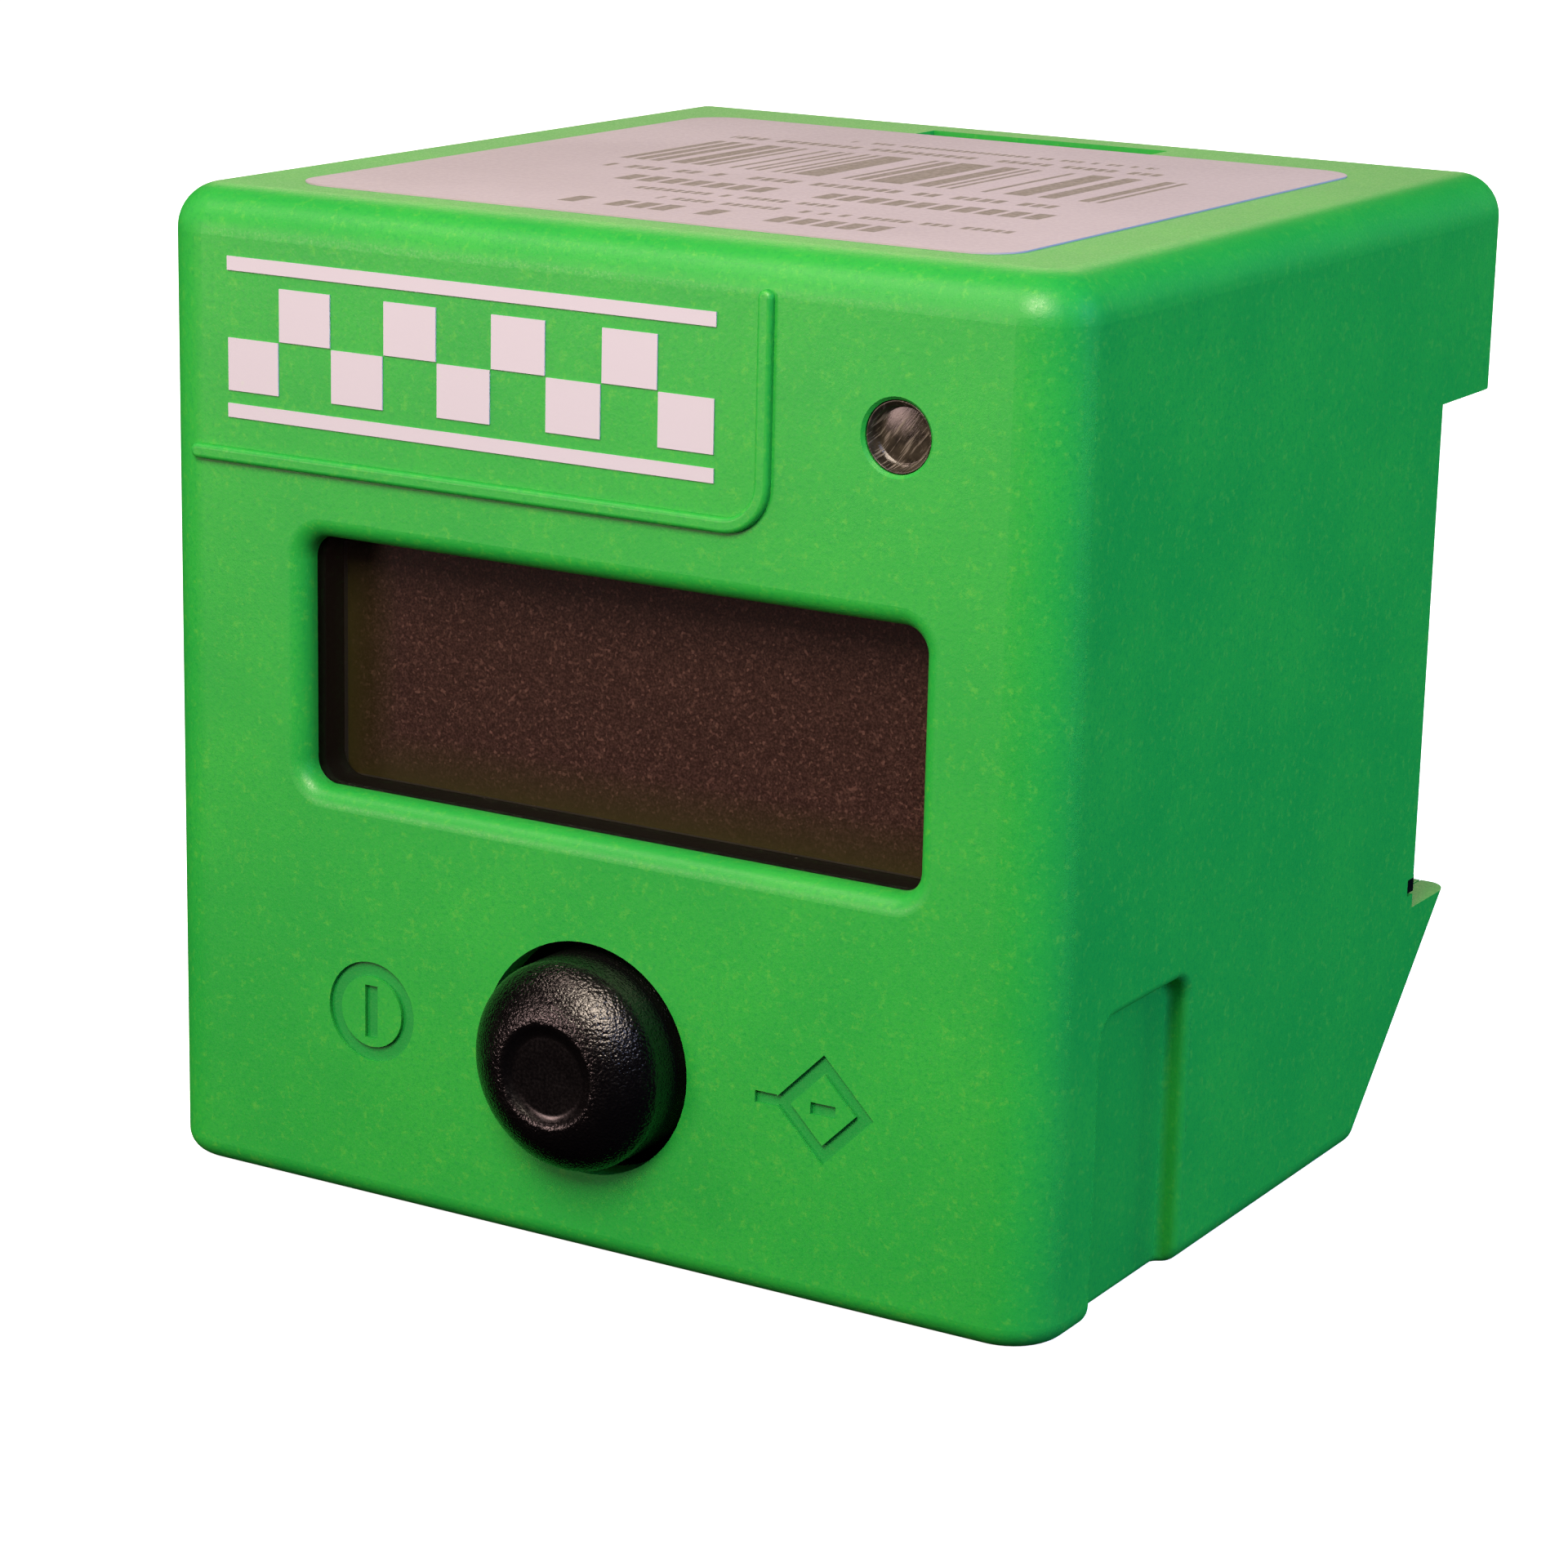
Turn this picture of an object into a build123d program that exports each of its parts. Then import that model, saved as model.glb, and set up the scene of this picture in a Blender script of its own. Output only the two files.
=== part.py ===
from build123d import *
import os
from math import sqrt

os.makedirs("parts", exist_ok=True)

# ---------------------------------------------------------------- driving sizes (mm)
# Body. X runs right as seen from the front, Y rearwards, Z up. Depths are from the front face.
body_width = 67.0
body_height = 66.0
body_depth = 66.0
wall = 2.2
front_edge_r = 4.0
top_edge_r = 3.0
rear_edge_r = 3.0
bottom_edge_r = 1.5

# Seat for a 35 mm top-hat rail in the back.
rail_height = 35.0
rail_gap_extra = 0.8
rail_flange = 1.0
seat_depth = 10.5
hook_top_z = 15.3
hook_reach = 6.9
wedge_run = 14.9
hook_nose_height = 1.5
hook_nose_width = 12.0
hook_nose_x = 14.0
hook_nose_thick = 2.4

# Rear cover.
cover_play = 0.1
cover_toe = 3.3
cover_screw_x = 27.2
cover_screw_z_low = 21.0
cover_screw_z_high = 59.2
cover_screw_r = 1.5
cover_head_r = 2.8
cover_head_h = 1.6
cover_pad_r = 3.6
cover_pad_h = 1.8
boss_r = 3.0
boss_length = 9.0

# Rubber strip that takes up play behind the rail.
rail_pad_z = 16.3
rail_pad_height = 1.2
rail_pad_proud = 0.8
rail_pad_sunk = 1.0

# Rail latch in the upper lip, and the tool slot above it.
slot_width = 19.0
slot_depth = 3.0
slot_front = 57.5
latch_play = 0.2
latch_nose_width = 16.0
latch_reach = 1.5
latch_travel = 2.2
latch_shoulder_width = 31.0
latch_shoulder_height = 2.2
latch_shoulder_thick = 5.0
latch_lift = 0.3
latch_top_clear = 0.8
latch_ramp = 1.2
latch_spring_x = 12.6
latch_spring_r = 1.5
latch_spring_wire = 0.5
latch_spring_coils = 5
latch_pin_r = 0.9
latch_pin_height = 2.4
latch_guide_thick = 1.5

# Finger grips low on both sides.
grip_front = 7.2
grip_rear = 19.3
grip_top = 19.7
grip_depth = 1.5
grip_back = 1.9
grip_corner_r = 1.6
grip_floor_r = 0.5
grip_edge_r = 0.6

# Display opening and what is behind it.
display_x = 1.2
display_z = 35.95
display_width = 45.6
display_height = 16.55
display_corner_r = 1.6
display_edge_r = 1.3
display_recess = 1.6
pane_margin = 1.9
pane_thick = 1.0
pane_play = 0.2
gasket_thick = 2.0
gasket_play = 0.2
glass_width = 49.0
glass_height = 20.0
glass_thick = 1.1
glass_ledge = 2.0
diffuser_thick = 2.0
bezel_sheet = 0.4
bezel_lip = 1.6
bezel_play = 0.25
zebra_width = 1.4

# Push button.
button_x = 0.5
button_z = 13.15
button_hole_r = 7.7
button_gap = 0.8
button_proud = 4.5
button_rim_proud = 1.9
button_dish_r = 3.5
button_dish_depth = 0.5
button_flange_r = 8.9
button_flange_thick = 1.0
button_back_gap = 0.4
button_travel = 1.2
button_stem_r = 3.0
button_fit = 0.05
button_spring_r = 5.2
button_spring_wire = 0.4
button_spring_coils = 2
guide_tube_wall = 1.1
guide_disc = 1.0
guide_cup_r = 6.6
switch_side = 6.0
switch_height = 3.3
plunger_r = 1.7
plunger_collar_r = 2.2
plunger_head = 1.2
plunger_fit = 0.05

# Status window.
status_x = 21.9
status_z = 55.6
status_hole_r = 2.25
status_bevel = 0.2
status_recess = 1.0
light_pipe_fit = 0.06
light_pipe_flange_r = 3.0
light_pipe_stem_r = 1.8
led_r = 1.5
led_height = 2.6

# Marks on the front face.
bead_width = 1.0
bead_height = 0.5
bead_z = 48.95
bead_left = -29.8
bead_x = 12.9
bead_top = 63.0
bead_corner_r = 2.8
bead_soft_r = 0.3
icon_depth = 0.3
icon_stroke = 1.0
ring_x = -16.2
ring_r = 3.4
diamond_x = 18.1
diamond_half = 3.6
mark_left = -27.4
mark_right = 9.4
mark_bottom = 51.4
mark_top = 61.8
mark_columns = 9
mark_rows = 2
mark_rule = 0.9
mark_gap = 0.8
mark_thick = 0.1

# Label on the top face.
label_left = -26.6
label_right = 25.9
label_front = 5.2
label_rear = 56.9
label_corner_r = 3.0
label_thick = 0.2
label_sunk = 0.1

# Boards.
board_front = 12.0
board_thick = 1.6
board_edge = 0.6
main_board_front = 30.0
standoff_x = 26.2
standoff_z_low = 9.4
standoff_z_high = 51.4
standoff_af = 5.0
standoff_stud_r = 1.2
standoff_hole_play = 0.3
post_r = 2.2
post_bore_depth = 6.0
board_head_r = 2.4
board_head_h = 1.5

# Supply socket in the bottom.
socket_poles = 4
socket_pitch = 3.5
socket_wall = 1.0
socket_cavity_depth = 6.2
socket_height = 13.0
socket_mouth_z = 0.6
socket_pin = 0.8
socket_pin_clear = 5.0
socket_play = 0.2

# Parts on the boards.
processor_side = 12.0
processor_height = 1.4
crystal_size = (11.0, 4.6, 3.6)
capacitor_r = 4.0
capacitor_height = 12.0
buzzer_r = 6.0
buzzer_height = 6.5
battery_r = 8.0
battery_height = 3.2
regulator_size = (10.0, 9.0, 4.4)
fuse_r = 1.6
fuse_length = 9.0
header_pins = 10
header_pitch = 2.0

# ---------------------------------------------------------------- derived sizes
total_depth = body_depth + button_proud
front_y = -total_depth / 2 + button_proud
half_w = body_width / 2
seat_d = body_depth - seat_depth
lip_z = hook_top_z + rail_height + rail_gap_extra
hook_d = seat_d + hook_reach
wedge_d = hook_d - wedge_run
wedge_length = sqrt(wedge_run ** 2 + hook_top_z ** 2)
inner_half_w = half_w - wall
inner_top = body_height - wall
cover_half_w = inner_half_w - cover_play
toe_d = wedge_d - cover_toe
slot_mid_d = slot_front + slot_depth / 2
latch_thick = slot_depth - 2 * latch_play
button_cap_r = button_hole_r - button_gap
flange_front = wall + button_back_gap
flange_rear = flange_front + button_flange_thick
switch_front = board_front - switch_height
plunger_front = switch_front - plunger_head - 0.1
guide_front = plunger_front - guide_disc
board_rear = board_front + board_thick
main_board_rear = main_board_front + board_thick
glass_front = display_recess + pane_thick + gasket_thick + bezel_sheet
standoffs = [(s * standoff_x, z) for s in (-1, 1) for z in (standoff_z_low, standoff_z_high)]
cover_screws = [(s * cover_screw_x, cover_screw_z_low, seat_d) for s in (-1, 1)]
cover_screws += [(s * cover_screw_x, cover_screw_z_high, body_depth) for s in (-1, 1)]


# ---------------------------------------------------------------- helpers
def block(x0, x1, d0, d1, z0, z1):
    """Box between two x values, two depths and two heights."""
    size = Box(x1 - x0, d1 - d0, z1 - z0)
    return Pos((x0 + x1) / 2, front_y + (d0 + d1) / 2, (z0 + z1) / 2) * size


def rod(x, z, r, d0, d1):
    """Round bar along Y between two depths."""
    plane = Plane((x, front_y + d0, z), x_dir=(1, 0, 0), z_dir=(0, 1, 0))
    return extrude(plane * Circle(r), d1 - d0)


def post(x, d, r, z0, z1):
    """Round bar along Z."""
    return Pos(x, front_y + d, (z0 + z1) / 2) * Cylinder(r, z1 - z0)


def front_plane(d):
    """Sketch plane parallel to the front face whose normal points to the rear."""
    return Plane((0, front_y + d, 0), x_dir=(1, 0, 0), z_dir=(0, -1, 0))


def plate(sketch, d0, d1):
    """Sketch in x and z, made solid between two depths."""
    return extrude(front_plane(d1) * sketch, d1 - d0)


def round_plate(x, z, width, height, r, d0, d1):
    """Rectangle with round corners, made solid between two depths."""
    return plate(Pos(x, z) * RectangleRounded(width, height, r), d0, d1)


def side_prism(points, x0, x1):
    """Outline of (depth, height) points, made solid between two x values."""
    plane = Plane((x0, front_y, 0), x_dir=(0, 1, 0), z_dir=(1, 0, 0))
    outline = make_face(Polyline(*[(d, z) for d, z in points], close=True))
    return extrude(plane * outline, x1 - x0)


def spring(x, y, z, axis, radius, wire, coils, length):
    """Round-wire compression spring from a point along an axis."""
    turns_length = length - wire
    path = Helix(pitch=turns_length / coils, height=turns_length, radius=radius)
    start = path @ 0
    profile = Plane(origin=start, z_dir=path % 0) * RegularPolygon(wire / 2, 8)
    coil = sweep(profile, path=path)
    frame = Plane((x, y, z), z_dir=axis)
    return frame * (Pos(0, 0, wire / 2) * coil)


def save(name, shape, pieces=1):
    """Write one node, after checking that it holds the right number of solids."""
    solids = shape.solids()
    if len(solids) != pieces:
        raise ValueError(f"{name}: {len(solids)} solids, wanted {pieces}")
    shape = solids[0] if pieces == 1 else Compound(children=list(solids))
    export_step(shape, f"parts/{name}.step")


def edges_where(shape, test):
    """Edges whose middle point passes a test on (x, depth, z)."""
    chosen = []
    for edge in shape.edges():
        middle = edge @ 0.5
        if test(middle.X, middle.Y - front_y, middle.Z, edge):
            chosen.append(edge)
    return chosen


def upright(edge):
    """True for an edge that runs along Z."""
    return abs((edge % 0.5).Z) > 0.999


# ---------------------------------------------------------------- body outline
def outer_body():
    """The whole outside, before it is parted into housing and rear cover."""
    outline = [(0, 0), (wedge_d, 0), (hook_d, hook_top_z), (seat_d, hook_top_z)]
    outline += [(seat_d, lip_z), (body_depth, lip_z), (body_depth, body_height), (0, body_height)]
    body = side_prism(outline, -half_w, half_w)
    front = edges_where(body, lambda x, d, z, e: upright(e) and d < 1)
    body = fillet(front, front_edge_r)
    rear = edges_where(body, lambda x, d, z, e: upright(e) and d > body_depth - 1)
    body = fillet(rear, rear_edge_r)
    top = edges_where(body, lambda x, d, z, e: z > body_height - 0.01)
    body = fillet(top, top_edge_r)
    low = edges_where(body, lambda x, d, z, e: z < 0.01)
    wedge = edges_where(body, lambda x, d, z, e: z < hook_top_z - 0.1 and d > wedge_d + 1
                        and abs((e % 0.5).Z) > 0.1 and not upright(e))
    return fillet(low + wedge, bottom_edge_r)


def inner_space():
    """The hollow inside the walls."""
    slope = wall * wedge_length / hook_top_z
    low_d = wedge_d + wall * wedge_run / hook_top_z - slope
    high_z = hook_top_z - wall
    high_d = low_d + (high_z - wall) * wedge_run / hook_top_z
    outline = [(wall, wall), (low_d, wall), (high_d, high_z), (seat_d - wall, high_z)]
    outline += [(seat_d - wall, lip_z + wall), (body_depth - wall, lip_z + wall)]
    outline += [(body_depth - wall, inner_top), (wall, inner_top)]
    return side_prism(outline, -inner_half_w, inner_half_w)


def cover_zone(play):
    """Band along the back that the rear cover takes up, made larger by a play."""
    far = body_depth + 5
    outline = [(toe_d - play, -5), (far, -5), (far, inner_top - cover_play + play)]
    outline += [(body_depth - wall, inner_top - cover_play + play)]
    outline += [(body_depth - wall, lip_z + wall), (seat_d - wall, lip_z + wall)]
    outline += [(seat_d - wall, hook_top_z - wall), (toe_d - play, hook_top_z - wall)]
    return side_prism(outline, -cover_half_w - play, cover_half_w + play)


OUTER = outer_body()
INNER = inner_space()


# ---------------------------------------------------------------- housing
def grips():
    """Finger grips cut into both sides, open at the bottom."""
    middle_d = (grip_front + grip_rear) / 2
    width = grip_rear - grip_front
    shape = Pos(0, (grip_top - 20) / 2) * RectangleRounded(width, grip_top + 20, grip_corner_r)
    cut = None
    for side in (-1, 1):
        floor = side * (half_w - grip_depth)
        plane = Plane((floor, front_y + middle_d, 0), x_dir=(0, side, 0), z_dir=(side, 0, 0))
        one = extrude(plane * shape, grip_depth + 5)
        corner = [e for e in one.edges() if abs((e @ 0.5).X - floor) < 0.01]
        one = fillet(corner, grip_floor_r)
        cut = one if cut is None else cut + one
    return cut


def soften_grips(shell):
    """Round the outer edges of both grips."""
    low = bottom_edge_r + 0.2
    high = grip_top + 0.2
    front = grip_front - 0.2
    rear = grip_rear + 0.2
    rim = edges_where(shell, lambda x, d, z, e: abs(abs(x) - half_w) < 0.01
                      and front < d < rear and low < z < high)
    return fillet(rim, grip_edge_r)


def grip_backs():
    """Thicker wall behind each grip."""
    depth = half_w - grip_depth - grip_back
    top = grip_top + grip_back
    rear = grip_rear + grip_back
    left = block(-inner_half_w - 0.5, -depth, wall - 0.5, rear, wall - 0.5, top)
    right = block(depth, inner_half_w + 0.5, wall - 0.5, rear, wall - 0.5, top)
    return left + right


def cover_bosses():
    """Posts on the side walls that the cover screws go into."""
    shape = None
    for x, z, face_d in cover_screws:
        end = face_d - wall - cover_pad_h
        side = 1 if x > 0 else -1
        one = rod(x, z, boss_r, end - boss_length, end)
        rib_x = sorted((x, side * (inner_half_w + 0.5)))
        one += block(rib_x[0], rib_x[1], end - boss_length, end, z - boss_r, z + boss_r)
        shape = one if shape is None else shape + one
    return shape


def bead():
    """L-shaped raised line on the front face."""
    corner = bead_corner_r
    outer = bead_width / 2
    flat_part = Pos((bead_left + bead_x - corner) / 2, bead_z) * Rectangle(
        bead_x - corner - bead_left, bead_width)
    tall_part = Pos(bead_x, (bead_z + corner + bead_top) / 2) * Rectangle(
        bead_width, bead_top - bead_z - corner)
    ring = Pos(bead_x - corner, bead_z + corner) * (
        Circle(corner + outer) - Circle(corner - outer))
    quarter = Pos(bead_x, bead_z) * Rectangle(2 * corner, 2 * corner)
    ends = Pos(bead_left, bead_z) * Circle(outer) + Pos(bead_x, bead_top) * Circle(outer)
    line = plate(flat_part + tall_part + (ring & quarter) + ends, -bead_height, 0.5)
    crest = edges_where(line, lambda x, d, z, e: abs(d + bead_height) < 0.001)
    return fillet(crest, bead_soft_r)


def icons():
    """Sunk ring-and-bar and diamond beside the button."""
    z = button_z
    ring = Pos(ring_x, z) * (Circle(ring_r) - Circle(ring_r - icon_stroke))
    bar = Pos(ring_x, z) * Rectangle(icon_stroke, 3.6)
    inner = diamond_half - icon_stroke * 1.3
    diamond = Rectangle(diamond_half * sqrt(2), diamond_half * sqrt(2))
    hole = Rectangle(inner * sqrt(2), inner * sqrt(2))
    frame = Pos(diamond_x, z) * Rot(0, 0, 45) * (diamond - hole)
    dash = Pos(diamond_x, z) * Rectangle(1.8, icon_stroke * 0.8)
    tail = Pos(diamond_x - diamond_half - 0.5, z) * Rectangle(1.6, icon_stroke * 0.8)
    return plate(ring + bar + frame + dash + tail, -1, icon_depth)


def display_cut():
    """Display opening."""
    return round_plate(display_x, display_z, display_width, display_height,
                       display_corner_r, -1, display_recess + 1)


def soften_display(shell):
    """Round the front edge of the display opening."""
    half_x = display_width / 2 + 0.1
    half_z = display_height / 2 + 0.1
    rim = edges_where(shell, lambda x, d, z, e: abs(d) < 0.01
                      and abs(x - display_x) < half_x and abs(z - display_z) < half_z)
    return fillet(rim, display_edge_r)


def housing():
    """Deep shell: front, top, bottom and both sides."""
    shell = OUTER - cover_zone(cover_play) - INNER
    shell += grip_backs()
    pane_w = display_width + 2 * pane_margin + 2 * pane_play
    pane_h = display_height + 2 * pane_margin + 2 * pane_play
    collar_rear = display_recess + pane_thick + gasket_thick - 0.3
    shell += round_plate(display_x, display_z, pane_w + 2, pane_h + 2, 2, wall - 0.5, collar_rear)
    shell -= round_plate(display_x, display_z, pane_w, pane_h, 1, display_recess, collar_rear + 1)
    shell = soften_display(shell - display_cut())
    shell = soften_grips(shell - grips())
    shell += cover_bosses()
    shell += bead()
    shell -= icons()
    shell -= rod(button_x, button_z, button_hole_r, -1, wall + 1)
    shell -= rod(status_x, status_z, status_hole_r, -1, wall + 1)
    cone = Plane((status_x, front_y, status_z), x_dir=(1, 0, 0), z_dir=(0, 1, 0))
    shell -= loft([cone * Circle(status_hole_r + status_bevel),
                   cone.offset(status_bevel) * Circle(status_hole_r)])
    for x, z in standoffs:
        shell += rod(x, z, post_r, wall - 0.5, board_front)
        shell -= rod(x, z, standoff_stud_r + 0.05, board_front - post_bore_depth - 0.5,
                     board_front + 1)
    for x, z, face_d in cover_screws:
        shell -= rod(x, z, cover_screw_r + 0.05, face_d - wall - boss_length, face_d)
    shell -= block(-slot_width / 2, slot_width / 2, slot_front, slot_front + slot_depth,
                   inner_top - 1, body_height + 1)
    shell -= rail_pad_groove()
    shell -= socket_hole()
    label_top = body_height - label_sunk
    shell -= label_shape(label_top, body_height + 1)
    return shell


def rail_pad_groove():
    """Groove for the rubber strip, open at both sides."""
    return block(-half_w - 1, half_w + 1, seat_d - rail_pad_sunk, seat_d + 1,
                 rail_pad_z, rail_pad_z + rail_pad_height)


def label_shape(z0, z1):
    """Outline of the top label, made solid between two heights."""
    middle_x = (label_left + label_right) / 2
    middle_d = (label_front + label_rear) / 2
    shape = RectangleRounded(label_right - label_left, label_rear - label_front, label_corner_r)
    return extrude(Plane((middle_x, front_y + middle_d, z0)) * shape, z1 - z0)


# ---------------------------------------------------------------- rear cover
def rear_cover():
    """Stepped plate that closes the back and carries the rail seat."""
    cover = (OUTER & cover_zone(0)) - INNER
    nose_d = seat_d + rail_pad_proud + rail_flange + 0.4
    for side in (-1, 1):
        x = side * hook_nose_x
        cover += block(x - hook_nose_width / 2, x + hook_nose_width / 2, nose_d,
                       nose_d + hook_nose_thick, hook_top_z - 0.5, hook_top_z + hook_nose_height)
    guide_x = latch_shoulder_width / 2 + latch_play
    for side in (-1, 1):
        x = sorted((side * guide_x, side * (guide_x + latch_guide_thick)))
        cover += block(x[0], x[1], seat_d, body_depth - wall + 0.5, lip_z + 0.5, inner_top - 1)
    guide_rear = slot_mid_d + latch_shoulder_thick / 2 + latch_play
    for side in (-1, 1):
        x = sorted((side * (guide_x - 3), side * (guide_x + latch_guide_thick)))
        cover += block(x[0], x[1], guide_rear, body_depth - wall + 0.5, lip_z + 0.5, inner_top - 1)
    nose_half = latch_nose_width / 2 + latch_play / 2
    cover -= block(-nose_half, nose_half, slot_front + latch_play / 2,
                   slot_front + slot_depth - latch_play / 2, lip_z - 1, lip_z + wall + 1)
    for x, z, face_d in cover_screws:
        cover += rod(x, z, cover_pad_r, face_d - wall - cover_pad_h, face_d - wall + 0.5)
    for x, z, face_d in cover_screws:
        cover -= rod(x, z, cover_screw_r + 0.2, face_d - wall - cover_pad_h - 1, face_d)
        cover -= rod(x, z, cover_head_r + 0.2, face_d - cover_head_h - 0.2, face_d + 1)
    return cover - rail_pad_groove()


def cover_screw_set():
    """Pan-head screws with a cross recess, one for each corner."""
    screws = []
    for x, z, face_d in cover_screws:
        seat = face_d - cover_head_h - 0.2
        head = rod(x, z, cover_head_r, seat, seat + cover_head_h)
        head = fillet(head.edges().filter_by(GeomType.CIRCLE).sort_by(Axis.Y)[-1], 0.7)
        body = head + rod(x, z, cover_screw_r, seat - 9.0, seat)
        for long, short in ((2.6, 0.6), (0.6, 2.6)):
            body -= block(x - long / 2, x + long / 2, seat + 0.7, seat + 3, z - short / 2, z + short / 2)
        screws.append(body)
    return Compound(children=[s.solids()[0] for s in screws])


def rail_pad():
    """Rubber strip just above the hook."""
    return block(-half_w + 0.3, half_w - 0.3, seat_d - rail_pad_sunk, seat_d + rail_pad_proud,
                 rail_pad_z, rail_pad_z + rail_pad_height)


def rail_latch():
    """Sprung bolt whose nose holds the upper edge of the rail."""
    d0 = slot_mid_d - latch_thick / 2
    d1 = slot_mid_d + latch_thick / 2
    shoulder_z = lip_z + wall + latch_lift
    top = body_height - latch_travel - latch_top_clear
    nose_half = latch_nose_width / 2
    tongue_half = slot_width / 2 - latch_play
    latch = block(-nose_half, nose_half, d0, d1, lip_z - latch_reach, shoulder_z + 0.5)
    ramp = [(d1 - latch_ramp, lip_z - latch_reach - 0.01), (d1 + 0.01, lip_z - latch_reach - 0.01)]
    ramp += [(d1 + 0.01, lip_z - latch_reach + latch_ramp)]
    latch -= side_prism(ramp, -nose_half - 1, nose_half + 1)
    half = latch_shoulder_width / 2
    thick = latch_shoulder_thick / 2
    latch += block(-half, half, slot_mid_d - thick, slot_mid_d + thick, shoulder_z,
                   shoulder_z + latch_shoulder_height)
    latch += block(-tongue_half, tongue_half, d0, d1, shoulder_z + 1, top)
    for side in (-1, 1):
        latch += post(side * latch_spring_x, slot_mid_d, latch_pin_r,
                      shoulder_z + 1, shoulder_z + latch_shoulder_height + latch_pin_height)
    return latch


def latch_springs():
    """Two compression springs between the latch and the top wall."""
    z0 = lip_z + wall + latch_lift + latch_shoulder_height
    coils = []
    for side in (-1, 1):
        coil = spring(side * latch_spring_x, front_y + slot_mid_d, z0 + 0.02, (0, 0, 1),
                      latch_spring_r, latch_spring_wire, latch_spring_coils,
                      inner_top - z0 - 0.04)
        coils.append(coil.solids()[0])
    return Compound(children=coils)


# ---------------------------------------------------------------- display
def display_window():
    """Smoked pane set behind the front opening."""
    return round_plate(display_x, display_z, display_width + 2 * pane_margin,
                       display_height + 2 * pane_margin, 1.0,
                       display_recess, display_recess + pane_thick)


def window_gasket():
    """Foam frame between the pane and the display bezel."""
    d0 = display_recess + pane_thick
    width = display_width + 2 * pane_margin - gasket_play
    height = display_height + 2 * pane_margin - gasket_play
    frame = round_plate(display_x, display_z, width, height, 1.0, d0, d0 + gasket_thick)
    return frame - round_plate(display_x, display_z, display_width + gasket_play,
                               display_height + gasket_play, display_corner_r,
                               d0 - 1, d0 + gasket_thick + 1)


def centred(width, height, d0, d1):
    """Plain plate centred on the display."""
    return plate(Pos(display_x, display_z) * Rectangle(width, height), d0, d1)


def lcd_bezel():
    """Sheet-metal frame that clamps the display stack to its board."""
    d0 = glass_front - bezel_sheet
    inner_w = glass_width + 2 * bezel_play
    inner_h = glass_height + 2 * bezel_play
    frame = centred(inner_w + 2 * bezel_sheet, inner_h + 2 * bezel_sheet, d0, board_front)
    frame -= centred(inner_w, inner_h, glass_front, board_front + 1)
    frame -= centred(glass_width - 2 * bezel_lip, glass_height - 2 * bezel_lip, d0 - 1, board_front)
    return frame


def lcd_glass_front():
    """Front glass, with the contact ledges along its long edges."""
    return centred(glass_width, glass_height, glass_front, glass_front + glass_thick)


def lcd_glass_rear():
    """Rear glass, shorter so that the contact ledges stay free."""
    return centred(glass_width, glass_height - 2 * glass_ledge,
                   glass_front + glass_thick, glass_front + 2 * glass_thick)


def backlight_diffuser():
    """Light guide behind the glass."""
    d0 = glass_front + 2 * glass_thick
    return centred(glass_width - 2, glass_height - 2 * glass_ledge - 0.4, d0, d0 + diffuser_thick)


def backlight_tray():
    """White tray that carries the light guide on the board."""
    d0 = glass_front + 2 * glass_thick + diffuser_thick
    width = glass_width - 2
    height = glass_height - 2 * glass_ledge - 0.4
    tray = centred(width, height, d0, board_front)
    return tray - centred(width - 2.4, height - 2.4, d0 + 0.8, board_front + 1)


def zebra_strips():
    """Rubber connector strips between the glass ledges and the board."""
    d0 = glass_front + glass_thick
    offset = glass_height / 2 - glass_ledge / 2
    strips = []
    for side in (-1, 1):
        strip = Pos(display_x, display_z + side * offset) * Rectangle(glass_width - 3, zebra_width)
        strips.append(plate(strip, d0, board_front).solids()[0])
    return Compound(children=strips)


# ---------------------------------------------------------------- boards
def board_outline():
    """Board that clears the walls, the grips and the screw bosses."""
    low = wall + board_edge
    high = inner_top - board_edge
    half = inner_half_w - board_edge
    shape = Pos(0, (low + high) / 2) * RectangleRounded(2 * half, high - low, 1.5)
    grip_half = half_w - grip_depth - grip_back - board_edge
    for side in (-1, 1):
        shape -= Pos(side * (grip_half + 5), (grip_top + grip_back + board_edge) / 2 - 5) * Rectangle(
            10, grip_top + grip_back + board_edge + 10)
        for z in (cover_screw_z_low, cover_screw_z_high):
            radius = boss_r + board_edge
            shape -= Pos(side * cover_screw_x, z) * Circle(radius)
            shape -= Pos(side * (cover_screw_x + 5), z) * Rectangle(10, 2 * radius)
    for x, z in standoffs:
        shape -= Pos(x, z) * Circle(standoff_stud_r + standoff_hole_play)
    return shape


def display_board():
    """Board behind the front, with the display, the switch and the status light."""
    return plate(board_outline(), board_front, board_rear)


def main_board():
    """Board with the processor, the supply parts and the supply socket."""
    board = plate(board_outline(), main_board_front, main_board_rear)
    for x in socket_xs():
        board -= block(x - 0.6, x + 0.6, main_board_front - 1, main_board_rear + 1,
                       socket_pin_z() - 0.6, socket_pin_z() + 0.6)
    return board


def board_standoffs():
    """Hexagon pillars with a stud in front and a tapped hole behind."""
    pillars = []
    for x, z in standoffs:
        hexagon = Pos(x, z) * RegularPolygon(standoff_af / 2, 6, major_radius=False)
        pillar = plate(hexagon, board_rear, main_board_front)
        pillar += rod(x, z, standoff_stud_r, board_front - post_bore_depth, board_rear)
        pillar -= rod(x, z, standoff_stud_r + 0.05, main_board_front - 7, main_board_front + 1)
        pillars.append(pillar.solids()[0])
    return Compound(children=pillars)


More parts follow.
